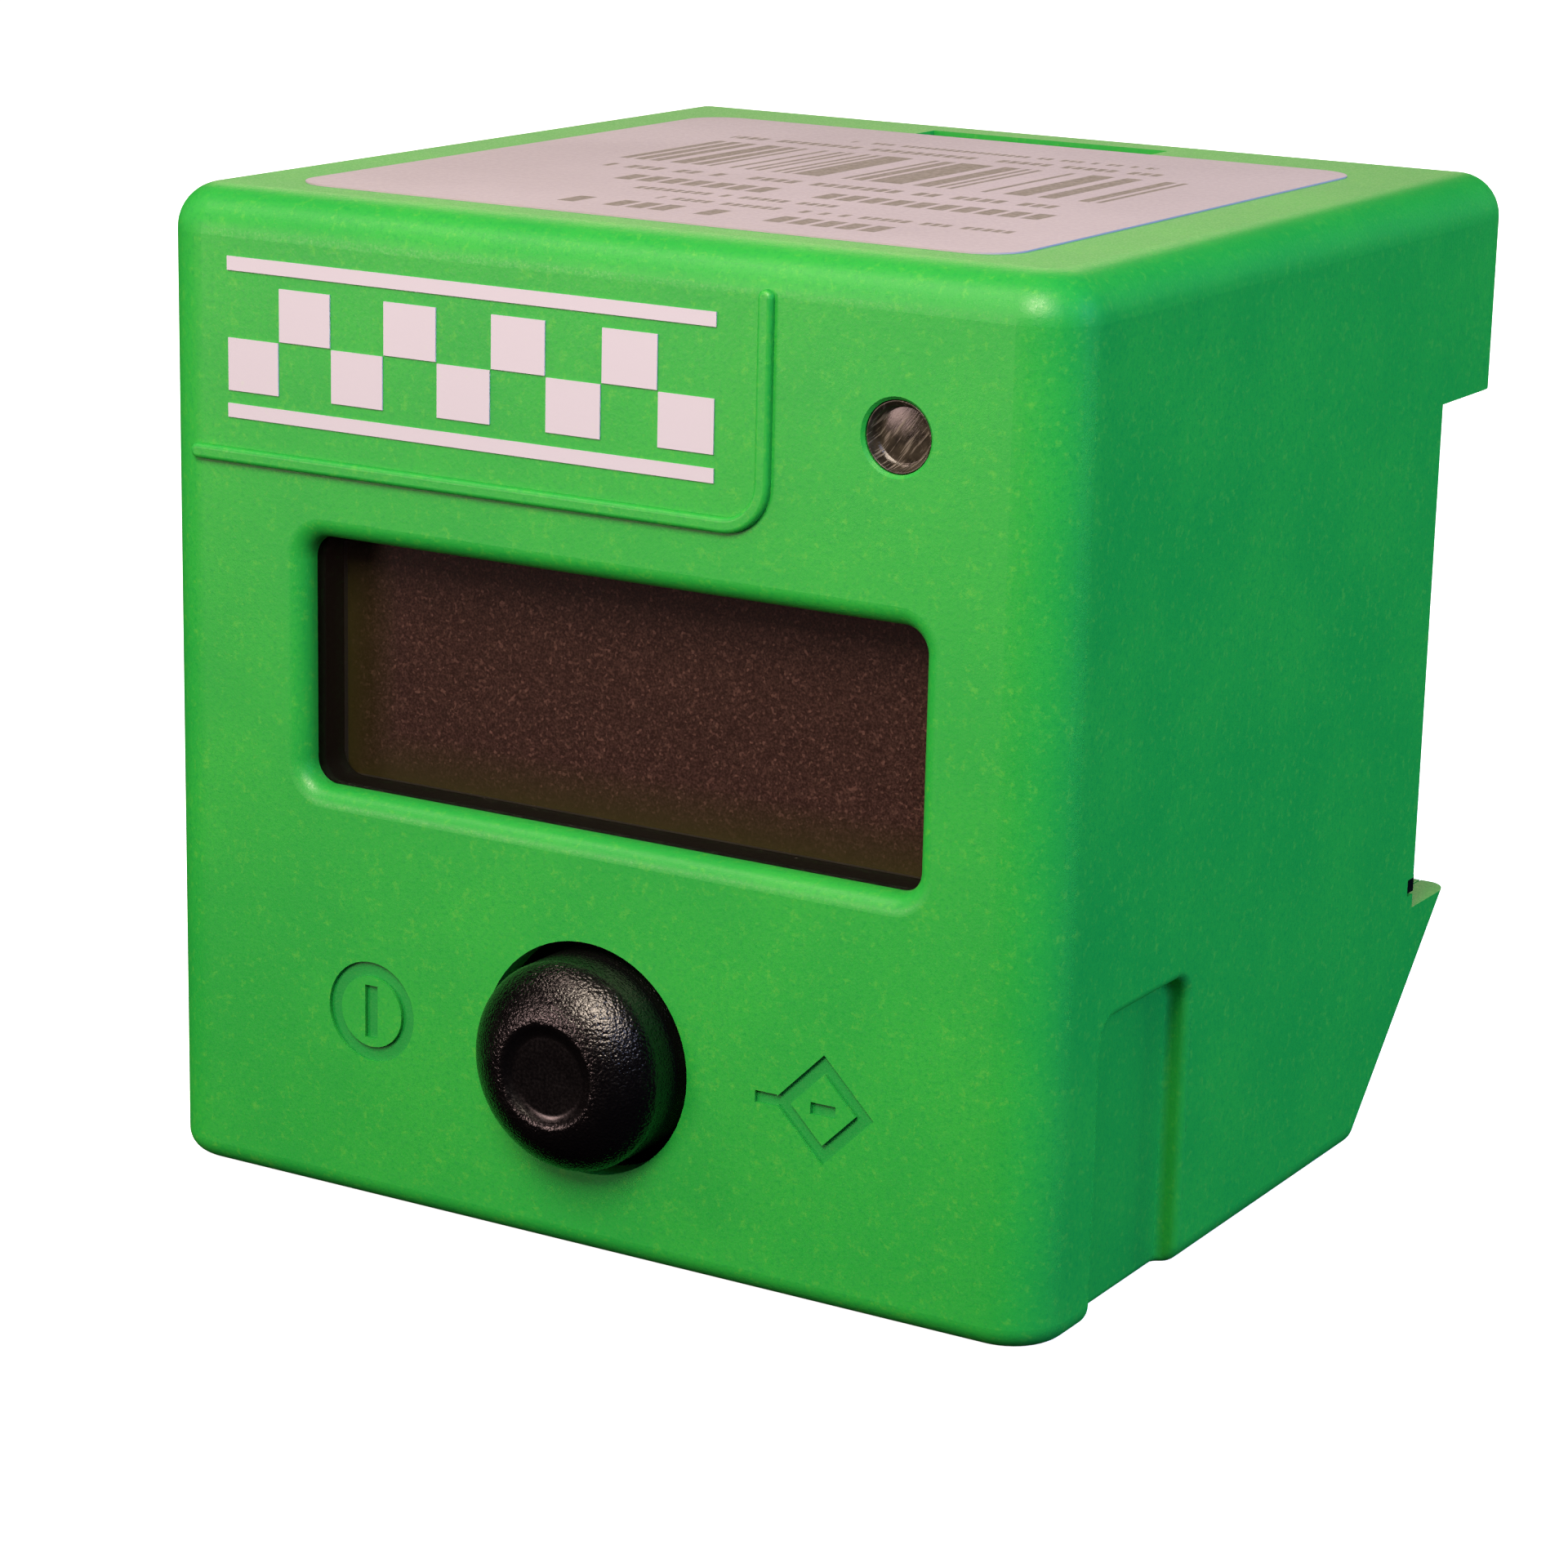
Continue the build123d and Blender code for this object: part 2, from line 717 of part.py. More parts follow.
def board_screws():
    """Pan-head screws that hold the main board on the pillars."""
    screws = []
    for x, z in standoffs:
        head = rod(x, z, board_head_r, main_board_rear, main_board_rear + board_head_h)
        head = fillet(head.edges().filter_by(GeomType.CIRCLE).sort_by(Axis.Y)[-1], 0.6)
        body = head + rod(x, z, standoff_stud_r, main_board_front - 6, main_board_rear)
        for long, short in ((2.4, 0.5), (0.5, 2.4)):
            body -= block(x - long / 2, x + long / 2, main_board_rear + 0.6, main_board_rear + 3,
                          z - short / 2, z + short / 2)
        screws.append(body.solids()[0])
    return Compound(children=screws)


# ---------------------------------------------------------------- push button
def button_cap():
    """Domed cap with a dish, a catch flange behind the wall and a stem."""
    r = button_cap_r
    rim = -button_rim_proud
    dome = -button_proud
    dish = dome + button_dish_depth
    profile = Line((0, flange_rear), (0, dish))
    profile += Spline((0, dish), (button_dish_r, dome), tangents=[(1, 0), (1, 0)])
    profile += Spline((button_dish_r, dome), (r, rim), tangents=[(1, 0), (0, 1)])
    profile += Polyline((r, rim), (r, flange_front), (button_flange_r, flange_front),
                        (button_flange_r, flange_rear), (0, flange_rear))
    face = make_face(profile)
    plane = Plane((button_x, front_y, button_z), x_dir=(1, 0, 0), z_dir=(0, 0, 1))
    turned = revolve(plane * face, Axis((button_x, front_y, button_z), (0, 1, 0)))
    return turned + rod(button_x, button_z, button_stem_r, flange_rear - 0.5, plunger_front - 0.05)


def button_guide():
    """Guide bush over the switch, which also seats the button spring."""
    x, z = button_x, button_z
    bore = button_stem_r + button_fit
    guide_top = flange_rear + button_travel + 0.1
    guide = rod(x, z, bore + guide_tube_wall, guide_top, guide_front + 0.1)
    guide += rod(x, z, guide_cup_r, guide_front, board_front)
    guide -= rod(x, z, guide_cup_r - 1.4, guide_front + guide_disc, board_front + 1)
    return guide - rod(x, z, bore, guide_top - 1, board_front + 1)


def button_spring():
    """Compression spring between the guide and the cap flange."""
    length = guide_front - flange_rear - 0.04
    return spring(button_x, front_y + flange_rear + 0.02, button_z, (0, 1, 0),
                  button_spring_r, button_spring_wire, button_spring_coils, length)


def switch_body():
    """Square momentary switch on the display board."""
    half = switch_side / 2
    body = block(button_x - half, button_x + half, switch_front, board_front,
                 button_z - half, button_z + half)
    body -= rod(button_x, button_z, plunger_r + plunger_fit, switch_front - 1, switch_front + 1)
    return body - rod(button_x, button_z, plunger_collar_r + 0.1, switch_front + 0.5,
                      board_front - 0.5)


def switch_plunger():
    """Plunger inside the switch, pushed by the button stem."""
    x, z = button_x, button_z
    collar = switch_front + 0.55
    plunger = rod(x, z, plunger_r, plunger_front, collar + 0.3)
    return plunger + rod(x, z, plunger_collar_r, collar, collar + 0.6)


# ---------------------------------------------------------------- status light
def light_pipe():
    """Clear lens and rod from the status light to the front."""
    x, z = status_x, status_z
    pipe = rod(x, z, status_hole_r - light_pipe_fit, status_recess, wall + 0.1)
    pipe += rod(x, z, light_pipe_flange_r, wall, wall + 1.0)
    return pipe + rod(x, z, light_pipe_stem_r, wall + 1.0, board_front - led_height - 0.4)


def status_led():
    """Small round light on the display board."""
    x, z = status_x, status_z
    led = rod(x, z, led_r, board_front - led_height, board_front)
    led = fillet(led.edges().filter_by(GeomType.CIRCLE).sort_by(Axis.Y)[0], 0.9)
    return led + rod(x, z, led_r + 0.4, board_front - 0.6, board_front)


# ---------------------------------------------------------------- supply socket
def socket_xs():
    """X position of each pole."""
    first = -(socket_poles - 1) * socket_pitch / 2
    return [first + i * socket_pitch for i in range(socket_poles)]


def socket_half():
    """Half the width of the socket's cavity."""
    return socket_poles * socket_pitch / 2


def socket_rear():
    """Depth of the socket's rear face."""
    return main_board_rear + socket_cavity_depth + 2 * socket_wall


def socket_pin_z():
    """Height at which the pins go through the board."""
    return socket_mouth_z + socket_height - 1.2


def socket_hole():
    """Hole in the bottom wall for the socket."""
    half = socket_half() + socket_wall + socket_play
    return block(-half, half, main_board_rear - socket_play, socket_rear() + socket_play, -1, wall + 1)


def power_socket():
    """Shrouded socket whose mouth faces down."""
    half = socket_half() + socket_wall
    top = socket_mouth_z + socket_height
    body = block(-half, half, main_board_rear, socket_rear(), socket_mouth_z, top)
    body -= block(-socket_half(), socket_half(), main_board_rear + socket_wall,
                  socket_rear() - socket_wall, socket_mouth_z - 1, top - 2.4)
    for x in socket_xs():
        body -= socket_pin_shape(x)
    return body


def socket_pin_shape(x):
    """One bent square pin."""
    half = socket_pin / 2
    middle = main_board_rear + socket_wall + socket_cavity_depth / 2
    pin = block(x - half, x + half, middle - half, middle + half,
                socket_mouth_z + socket_pin_clear, socket_pin_z() + half)
    return pin + block(x - half, x + half, main_board_front - 1.2, middle + half,
                       socket_pin_z() - half, socket_pin_z() + half)


def socket_pins():
    """All pins of the supply socket."""
    return Compound(children=[socket_pin_shape(x).solids()[0] for x in socket_xs()])


# ---------------------------------------------------------------- parts on the boards
def rear_part(x, z, width, height, thick):
    """Box on the rear face of the main board."""
    return block(x - width / 2, x + width / 2, main_board_rear, main_board_rear + thick,
                 z - height / 2, z + height / 2)


def microcontroller():
    """Flat square chip with four rows of leads."""
    x, z = -11.0, 36.0
    half = processor_side / 2
    chip = block(x - half, x + half, main_board_rear + 0.15, main_board_rear + processor_height,
                 z - half, z + half)
    for i in range(11):
        offset = (i - 5) * 1.0
        for side in (-1, 1):
            chip += block(x + side * (half + 0.5) - 0.6, x + side * (half + 0.5) + 0.6,
                          main_board_rear, main_board_rear + 0.5, z + offset - 0.2, z + offset + 0.2)
            chip += block(x + offset - 0.2, x + offset + 0.2, main_board_rear, main_board_rear + 0.5,
                          z + side * (half + 0.5) - 0.6, z + side * (half + 0.5) + 0.6)
    return chip


def crystal():
    """Metal can next to the processor."""
    width, height, thick = crystal_size
    return fillet(rear_part(-11.0, 24.5, width, height, thick).edges().filter_by(Axis.Y), 1.8)


def capacitors():
    """Two upright round capacitors."""
    cans = []
    for x in (9.5, 18.5):
        can = rod(x, 21.0, capacitor_r, main_board_rear, main_board_rear + capacitor_height)
        can = fillet(can.edges().filter_by(GeomType.CIRCLE).sort_by(Axis.Y)[-1], 0.8)
        cans.append(can.solids()[0])
    return Compound(children=cans)


def buzzer():
    """Round sounder on the display board's rear face."""
    sounder = rod(-11.0, 20.0, buzzer_r, board_rear, board_rear + buzzer_height)
    return sounder - rod(-11.0, 20.0, 1.0, board_rear + buzzer_height - 2, board_rear + buzzer_height + 1)


def battery_holder():
    """Open ring holder for the round cell."""
    d1 = main_board_rear + battery_height + 1.2
    ring = rod(12.0, 40.0, battery_r + 1.4, main_board_rear, d1)
    ring -= rod(12.0, 40.0, battery_r + 0.15, main_board_rear + 0.8, d1 + 1)
    return ring - block(12.0 - 3, 12.0 + 3, main_board_rear + 0.8, d1 + 1, 46.0, 54.0)


def backup_battery():
    """Round cell in its holder."""
    cell = rod(12.0, 40.0, battery_r, main_board_rear + 0.8, main_board_rear + 0.8 + battery_height)
    return fillet(cell.edges().filter_by(GeomType.CIRCLE), 0.4)


def voltage_regulator():
    """Power chip with its metal tab."""
    width, height, thick = regulator_size
    x, z = -12.0, 52.5
    chip = rear_part(x, z, width, height, thick)
    chip += rear_part(x, z + height / 2 + 2.0, width, 4.2, 1.3)
    for i in (-1, 0, 1):
        chip += rear_part(x + i * 2.5, z - height / 2 - 1.4, 0.8, 3.0, 0.8)
    return chip


def fuse():
    """Small glass fuse with end caps and clips."""
    x, z = 12.0, 56.0
    half = fuse_length / 2
    d = main_board_rear + fuse_r + 0.6
    plane = Plane((x - half, front_y + d, z), z_dir=(1, 0, 0))
    body = extrude(plane * Circle(fuse_r - 0.2), fuse_length)
    for end in (-1, 1):
        start = x + end * (half - 1.0) - 1.0
        cap = Plane((start, front_y + d, z), z_dir=(1, 0, 0))
        body += extrude(cap * Circle(fuse_r), 2.0)
        body += block(start, start + 2.0, main_board_rear, d, z - 1.0, z + 1.0)
    return body


def board_header():
    """Pin strip from the display board to the main board."""
    length = header_pins * header_pitch
    strip = block(-length / 2, length / 2, board_rear, board_rear + 2.5, 57.0, 59.6)
    for i in range(header_pins):
        x = (i - (header_pins - 1) / 2) * header_pitch
        strip += block(x - 0.3, x + 0.3, board_rear + 1, main_board_front - 3.0, 58.0, 58.6)
    return strip


def board_socket():
    """Socket strip on the main board's front face."""
    length = header_pins * header_pitch
    strip = block(-length / 2, length / 2, main_board_front - 8.5, main_board_front, 57.0, 59.6)
    for i in range(header_pins):
        x = (i - (header_pins - 1) / 2) * header_pitch
        strip -= block(x - 0.35, x + 0.35, main_board_front - 9.5, main_board_front - 2.5, 57.95, 58.65)
    return strip


def front_mark():
    """Plain chequer band between two rules."""
    width = mark_right - mark_left
    inner_low = mark_bottom + mark_rule + mark_gap
    inner_high = mark_top - mark_rule - mark_gap
    cell_w = width / mark_columns
    cell_h = (inner_high - inner_low) / mark_rows
    middle = (mark_left + mark_right) / 2
    pieces = [(middle, mark_bottom + mark_rule / 2, width, mark_rule)]
    pieces += [(middle, mark_top - mark_rule / 2, width, mark_rule)]
    for row in range(mark_rows):
        for column in range(mark_columns):
            if (row + column) % 2 == 0:
                x = mark_left + (column + 0.5) * cell_w
                z = inner_low + (row + 0.5) * cell_h
                pieces.append((x, z, cell_w - 0.1, cell_h - 0.1))
    solids = []
    for x, z, w, h in pieces:
        solids.append(plate(Pos(x, z) * Rectangle(w, h), -mark_thick, 0).solids()[0])
    return Compound(children=solids)


# ---------------------------------------------------------------- write every node
mark_count = 2 + (mark_columns * mark_rows + 1) // 2
save("main_housing", housing())
save("rear_cover", rear_cover())
save("cover_screws", cover_screw_set(), len(cover_screws))
save("rail_pad", rail_pad())
save("rail_latch", rail_latch())
save("latch_springs", latch_springs(), 2)
save("top_label", label_shape(body_height - label_sunk, body_height - label_sunk + label_thick))
save("front_mark", front_mark(), mark_count)
save("display_window", display_window())
save("window_gasket", window_gasket())
save("lcd_bezel", lcd_bezel())
save("lcd_glass_front", lcd_glass_front())
save("lcd_glass_rear", lcd_glass_rear())
save("backlight_diffuser", backlight_diffuser())
save("backlight_tray", backlight_tray())
save("zebra_strips", zebra_strips(), 2)
save("display_board", display_board())
save("main_board", main_board())
save("board_standoffs", board_standoffs(), len(standoffs))
save("board_screws", board_screws(), len(standoffs))
save("button_cap", button_cap())
save("button_guide", button_guide())
save("button_spring", button_spring())
save("switch_body", switch_body())
save("switch_plunger", switch_plunger())
save("light_pipe", light_pipe())
save("status_led", status_led())
save("power_socket", power_socket())
save("socket_pins", socket_pins(), socket_poles)
save("microcontroller", microcontroller())
save("crystal", crystal())
save("capacitors", capacitors(), 2)
save("buzzer", buzzer())
save("battery_holder", battery_holder())
save("backup_battery", backup_battery())
save("voltage_regulator", voltage_regulator())
save("fuse", fuse())
save("board_header", board_header())
save("board_socket", board_socket())
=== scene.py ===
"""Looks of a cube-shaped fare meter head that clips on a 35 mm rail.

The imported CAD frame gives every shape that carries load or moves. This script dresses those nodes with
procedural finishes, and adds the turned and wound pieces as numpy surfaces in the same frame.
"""
import logging
import math
from dataclasses import dataclass, field
from enum import Enum
from typing import Any, Optional

import bmesh
import bpy
import numpy as np
from mathutils import Matrix, Vector


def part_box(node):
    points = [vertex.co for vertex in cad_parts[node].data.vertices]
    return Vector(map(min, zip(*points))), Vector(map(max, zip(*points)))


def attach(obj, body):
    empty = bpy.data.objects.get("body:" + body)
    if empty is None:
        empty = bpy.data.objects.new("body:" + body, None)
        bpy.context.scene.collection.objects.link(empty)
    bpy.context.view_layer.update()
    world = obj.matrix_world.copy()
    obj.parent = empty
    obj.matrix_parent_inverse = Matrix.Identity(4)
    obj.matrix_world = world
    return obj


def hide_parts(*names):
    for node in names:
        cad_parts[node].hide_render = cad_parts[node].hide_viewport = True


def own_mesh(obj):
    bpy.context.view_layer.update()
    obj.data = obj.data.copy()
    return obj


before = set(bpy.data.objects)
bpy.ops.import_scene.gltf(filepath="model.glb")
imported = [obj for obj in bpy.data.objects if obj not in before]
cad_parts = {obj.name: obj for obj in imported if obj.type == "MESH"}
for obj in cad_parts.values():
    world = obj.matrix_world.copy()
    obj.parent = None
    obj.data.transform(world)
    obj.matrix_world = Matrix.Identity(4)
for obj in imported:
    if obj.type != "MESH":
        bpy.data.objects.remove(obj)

LOG = logging.getLogger("fare_meter")
MM = 0.001
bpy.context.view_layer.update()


# ------------------------------------------------------------------ colour and node helpers
def linear(code: str, alpha: float = 1.0) -> tuple[float, float, float, float]:
    """Turn an sRGB hex colour into the linear values that shaders use.

    Args:
        code: Six hex digits with a leading hash.
        alpha: Fourth value, left as it is.

    Returns:
        Linear red, green, blue and alpha.
    """
    values = [int(code[i:i + 2], 16) / 255 for i in (1, 3, 5)]
    red, green, blue = [v / 12.92 if v <= 0.04045 else ((v + 0.055) / 1.055) ** 2.4 for v in values]
    return red, green, blue, alpha


def add_node(tree: bpy.types.NodeTree, kind: str, settings: Optional[dict[Any, Any]] = None,
             links: Optional[dict[Any, Any]] = None) -> bpy.types.Node:
    """Add one shader node, with its settings and what feeds it.

    Args:
        tree: Node tree of the material.
        kind: Blender's type name without its leading ShaderNode.
        settings: Property name, input name or input number, each with its value.
        links: Input name or number, each with the output socket that feeds it.

    Returns:
        The new node.
    """
    node = tree.nodes.new("ShaderNode" + kind)
    for key, value in (settings or {}).items():
        if isinstance(key, str) and hasattr(node, key):
            setattr(node, key, value)
        else:
            node.inputs[key].default_value = value
    for key, socket in (links or {}).items():
        tree.links.new(socket, node.inputs[key])
    return node


@dataclass
class Paint:
    """A material under construction, with its tree, shader and coordinates."""

    name: str
    material: bpy.types.Material = field(init=False)

    def __post_init__(self) -> None:
        """Make an empty material with one shader on its output."""
        self.material = bpy.data.materials.new(self.name)
        self.material.use_nodes = True
        self.tree = self.material.node_tree
        self.tree.nodes.clear()
        self.place = add_node(self.tree, "TexCoord").outputs["Object"]
        self.shader = add_node(self.tree, "BsdfPrincipled")
        add_node(self.tree, "OutputMaterial", links={"Surface": self.shader.outputs["BSDF"]})

    def noise(self, size_mm: float, detail: float = 2.0, roughness: float = 0.5,
              stretch: tuple[float, float, float] = (1.0, 1.0, 1.0),
              turn: tuple[float, float, float] = (0.0, 0.0, 0.0)) -> Any:
        """Noise whose blobs are about a given size.

        Args:
            size_mm: Blob size in millimetres.
            detail: Octaves of finer noise.
            roughness: Strength of each octave against the one before.
            stretch: Scale along each axis, above 1 for finer.
            turn: Rotation of the pattern in radians.

        Returns:
            The output that runs from 0 to 1.
        """
        rolled = add_node(self.tree, "Mapping", {"Rotation": turn}, {"Vector": self.place})
        mapped = add_node(self.tree, "Mapping", {"Scale": stretch}, {"Vector": rolled.outputs["Vector"]})
        return add_node(self.tree, "TexNoise", {
            "Scale": 1.0 / (size_mm * MM), "Detail": detail, "Roughness": roughness,
        }, {"Vector": mapped.outputs["Vector"]}).outputs["Fac"]

    def math(self, operation: str, first: Any, second: Any = 0.0, clamp: bool = False) -> Any:
        """Join two numbers or sockets by one operation.

        Args:
            operation: Blender's name for it, such as MULTIPLY.
            first: Socket or number.
            second: Socket or number.
            clamp: Whether to keep the result between 0 and 1.

        Returns:
            The output socket.
        """
        settings: dict[Any, Any] = {"operation": operation, "use_clamp": clamp}
        links: dict[Any, Any] = {}
        for index, value in enumerate((first, second)):
            if isinstance(value, bpy.types.NodeSocket):
                links[index] = value
            else:
                settings[index] = value
        return add_node(self.tree, "Math", settings, links).outputs[0]

    def ramp(self, value: Any, low: float, high: float, start: float = 0.0, end: float = 1.0) -> Any:
        """Carry a value from one range onto another, held at the ends.

        Args:
            value: Socket to carry.
            low: Value that gives the start.
            high: Value that gives the end.
            start: Result at the low value.
            end: Result at the high value.

        Returns:
            The output socket.
        """
        return add_node(self.tree, "MapRange", {1: low, 2: high, 3: start, 4: end},
                        {"Value": value}).outputs["Result"]

    def blend(self, share: Any, first: Any, second: Any) -> Any:
        """Blend two colours by a share.

        Args:
            share: Socket or number, 0 for the first colour.
            first: Socket or linear colour.
            second: Socket or linear colour.

        Returns:
            The colour socket.
        """
        settings: dict[Any, Any] = {"data_type": "RGBA"}
        links: dict[Any, Any] = {}
        for index, value in ((0, share), (6, first), (7, second)):
            if isinstance(value, bpy.types.NodeSocket):
                links[index] = value
            else:
                settings[index] = value
        return add_node(self.tree, "Mix", settings, links).outputs[2]

    def shaded(self, colour: tuple[float, float, float, float], tone: Any) -> Any:
        """Multiply a linear colour by a grey socket, and give the colour socket."""
        return add_node(self.tree, "Mix", {"data_type": "RGBA", "blend_type": "MULTIPLY", 0: 1.0, 6: colour},
                        {7: tone}).outputs[2]

    def pick(self, seed: Any) -> Any:
        """Give one random value from 0 to 1 for each whole number."""
        return add_node(self.tree, "TexWhiteNoise", {"noise_dimensions": "1D"}, {"W": seed}).outputs["Value"]

    def bump(self, height: Any, depth_mm: float, strength: float = 1.0, under: Any = None) -> Any:
        """Turn a height into a bumped normal.

        Args:
            height: Socket from 0 to 1.
            depth_mm: Height difference in millimetres that a full step stands for.
            strength: How much of the bump shows.
            under: Normal socket of a coarser bump below this one.

        Returns:
            The normal socket.
        """
        links = {"Height": height}
        if under is not None:
            links["Normal"] = under
        return add_node(self.tree, "Bump", {"Strength": strength, "Distance": depth_mm * MM},
                        links).outputs["Normal"]

    def axes(self) -> tuple[Any, Any, Any]:
        """Give the X, Y and Z of the piece's own coordinates."""
        split = add_node(self.tree, "SeparateXYZ", links={"Vector": self.place})
        return split.outputs[0], split.outputs[1], split.outputs[2]

    def band(self, value: Any, low: float, high: float) -> Any:
        """Give 1 where a value lies between two limits, and 0 elsewhere."""
        above = self.math("GREATER_THAN", value, low)
        below = self.math("LESS_THAN", value, high)
        return self.math("MULTIPLY", above, below)

    def feed(self, **sockets: Any) -> None:
        """Link sockets to the shader's inputs, with spaces written as underscores."""
        for key, socket in sockets.items():
            self.tree.links.new(socket, self.shader.inputs[key.replace("_", " ")])

    def fix(self, **values: Any) -> None:
        """Set the shader's own inputs, with spaces written as underscores."""
        for key, value in values.items():
            self.shader.inputs[key.replace("_", " ")].default_value = value


# ------------------------------------------------------------------ finishes
class Sheen(Enum):
    """How far a moulded surface was polished, as its middle roughness."""

    POLISHED = 0.16
    SATIN = 0.34
    GRAINED = 0.46
    MATT = 0.62


@dataclass(frozen=True)
class SparkErodedABS:
    """ABS moulded against a spark-eroded tool: even colour, tiny round pits, soft broken gloss."""

    face_mm: float
    name: str = "spark_eroded_abs_green"
    colour: str = "#26A537"
    shade: str = "#109637"
    glint: str = "#55B23C"
    # Darker green of the painted shade on the sunk icon floors, and the x, depth and z limits that it fills.
    sunk_shade: str = "#0C8A3C"
    sunk_shade_mm: tuple[float, float, float, float, float, float] = (-21.0, 24.0, 0.18, 0.45, 8.6, 18.0)
    grain_mm: float = 0.32
    fine_mm: float = 0.13
    grain_depth_mm: float = 0.020
    flow_mm: float = 9.0

    def build(self) -> bpy.types.Material:
        """Build the material: three greens in soft specks, two sizes of pit, and painted shade on the sunk
        icon floors.
        """
        paint = Paint(self.name)
        x, y, z = paint.axes()
        # Painted shade: faces 0.18 to 0.45 mm behind the front face, inside the icon box, are given a darker
        # green.
        left, right, near, far_y, low_z, high_z = [v * MM for v in self.sunk_shade_mm]
        depth = paint.math("SUBTRACT", y, self.face_mm * MM)
        icon_shade = paint.math("MULTIPLY", paint.band(x, left, right), paint.band(depth, near, far_y))
        icon_shade = paint.math("MULTIPLY", icon_shade, paint.band(z, low_z, high_z))
        flow = paint.noise(self.flow_mm, 3.0)
        grain = paint.noise(self.grain_mm, 3.0, 0.65)
        fine = paint.noise(self.fine_mm, 2.0, 0.6)
        far = paint.noise(self.grain_mm * 1.7, 4.0, 0.7)
        base = paint.blend(paint.ramp(flow, 0.35, 0.65, 0.0, 0.5), linear(self.colour), linear(self.shade))
        dark = paint.blend(paint.ramp(grain, 0.48, 0.70, 0.0, 0.75), base, linear(self.shade))
        tone = paint.blend(paint.ramp(far, 0.55, 0.72, 0.0, 0.55), dark, linear(self.glint))
        # Blend in the painted shade of the sunk icons.
        tone = paint.blend(paint.math("MULTIPLY", icon_shade, 0.7), tone, linear(self.sunk_shade))
        rough = paint.ramp(fine, 0.3, 0.7, Sheen.SATIN.value, Sheen.GRAINED.value + 0.08)
        low = paint.bump(grain, self.grain_depth_mm, 0.55)
        paint.fix(IOR=1.54)
        paint.feed(Base_Color=tone, Roughness=rough,
                   Normal=paint.bump(fine, self.grain_depth_mm / 2, 0.7, low))
        return paint.material


@dataclass(frozen=True)
class Moulding:
    """Plain moulded plastic or rubber with a fine tool grain."""

    name: str
    colour: str
    sheen: Sheen = Sheen.SATIN
    grain_mm: float = 0.25
    grain_depth_mm: float = 0.008
    ior: float = 1.5

    def build(self) -> bpy.types.Material:
        """Build the material: one colour, a little uneven, with grain in gloss and height."""
        paint = Paint(self.name)
        grain = paint.noise(self.grain_mm, 3.0)
        cloud = paint.noise(self.grain_mm * 30, 2.0)
        tint = paint.shaded(linear(self.colour), paint.ramp(cloud, 0.3, 0.7, 0.9, 1.08))
        rough = paint.ramp(grain, 0.3, 0.7, self.sheen.value - 0.05, self.sheen.value + 0.07)
        paint.fix(IOR=self.ior)
        paint.feed(Base_Color=tint, Roughness=rough,
                   Normal=paint.bump(grain, self.grain_depth_mm, 0.6))
        return paint.material


@dataclass(frozen=True)
class GrainedCap:
    """Hard black ABS push cap, moulded with a fine grain that breaks its highlight into grains."""

    middle_mm: tuple[float, float]
    dish_mm: float
    name: str = "grained_black_abs"
    colour: str = "#060506"
    grain_mm: float = 0.19
    grain_depth_mm: float = 0.07
    fade_mm: float = 0.5

    def build(self) -> bpy.types.Material:
        """Build the material: near black, with deep round grain that stops at the smooth dish."""
        paint = Paint(self.name)
        x, _, z = paint.axes()
        across = paint.math("SUBTRACT", x, self.middle_mm[0] * MM)
        upward = paint.math("SUBTRACT", z, self.middle_mm[1] * MM)
        radius = paint.math("SQRT", paint.math("ADD", paint.math("MULTIPLY", across, across),
                                               paint.math("MULTIPLY", upward, upward)))
        outside = paint.ramp(radius, (self.dish_mm - self.fade_mm) * MM, self.dish_mm * MM, 0.05, 1.0)
        grain = paint.noise(self.grain_mm, 1.0, 0.5)
        wear = paint.noise(2.5, 3.0)
        rough = paint.math("ADD", paint.ramp(grain, 0.3, 0.7, 0.14, 0.26),
                           paint.ramp(wear, 0.3, 0.7, 0.0, 0.08))
        paint.fix(Base_Color=linear(self.colour), IOR=1.54)
        height = paint.math("MULTIPLY", grain, outside)
        paint.feed(Roughness=rough, Normal=paint.bump(height, self.grain_depth_mm, 1.0))
        return paint.material


@dataclass(frozen=True)
class SmokedAcrylic:
    """Smoked acrylic pane, cast and polished: clear but dark, with a hard gloss and faint dust."""

    name: str = "smoked_acrylic"
    colour: str = "#120C0A"
    cover: float = 0.30

    def build(self) -> bpy.types.Material:
        """Build the material, which lets part of what is behind it through."""
        paint = Paint(self.name)
        dust = paint.noise(0.35, 2.0)
        smear = paint.noise(9.0, 3.0)
        rough = paint.math("ADD", paint.ramp(dust, 0.55, 0.75, 0.05, 0.16),
                           paint.ramp(smear, 0.4, 0.7, 0.0, 0.06))
        paint.fix(Base_Color=linear(self.colour), IOR=1.49, Alpha=self.cover)
        paint.feed(Roughness=rough)
        return paint.material


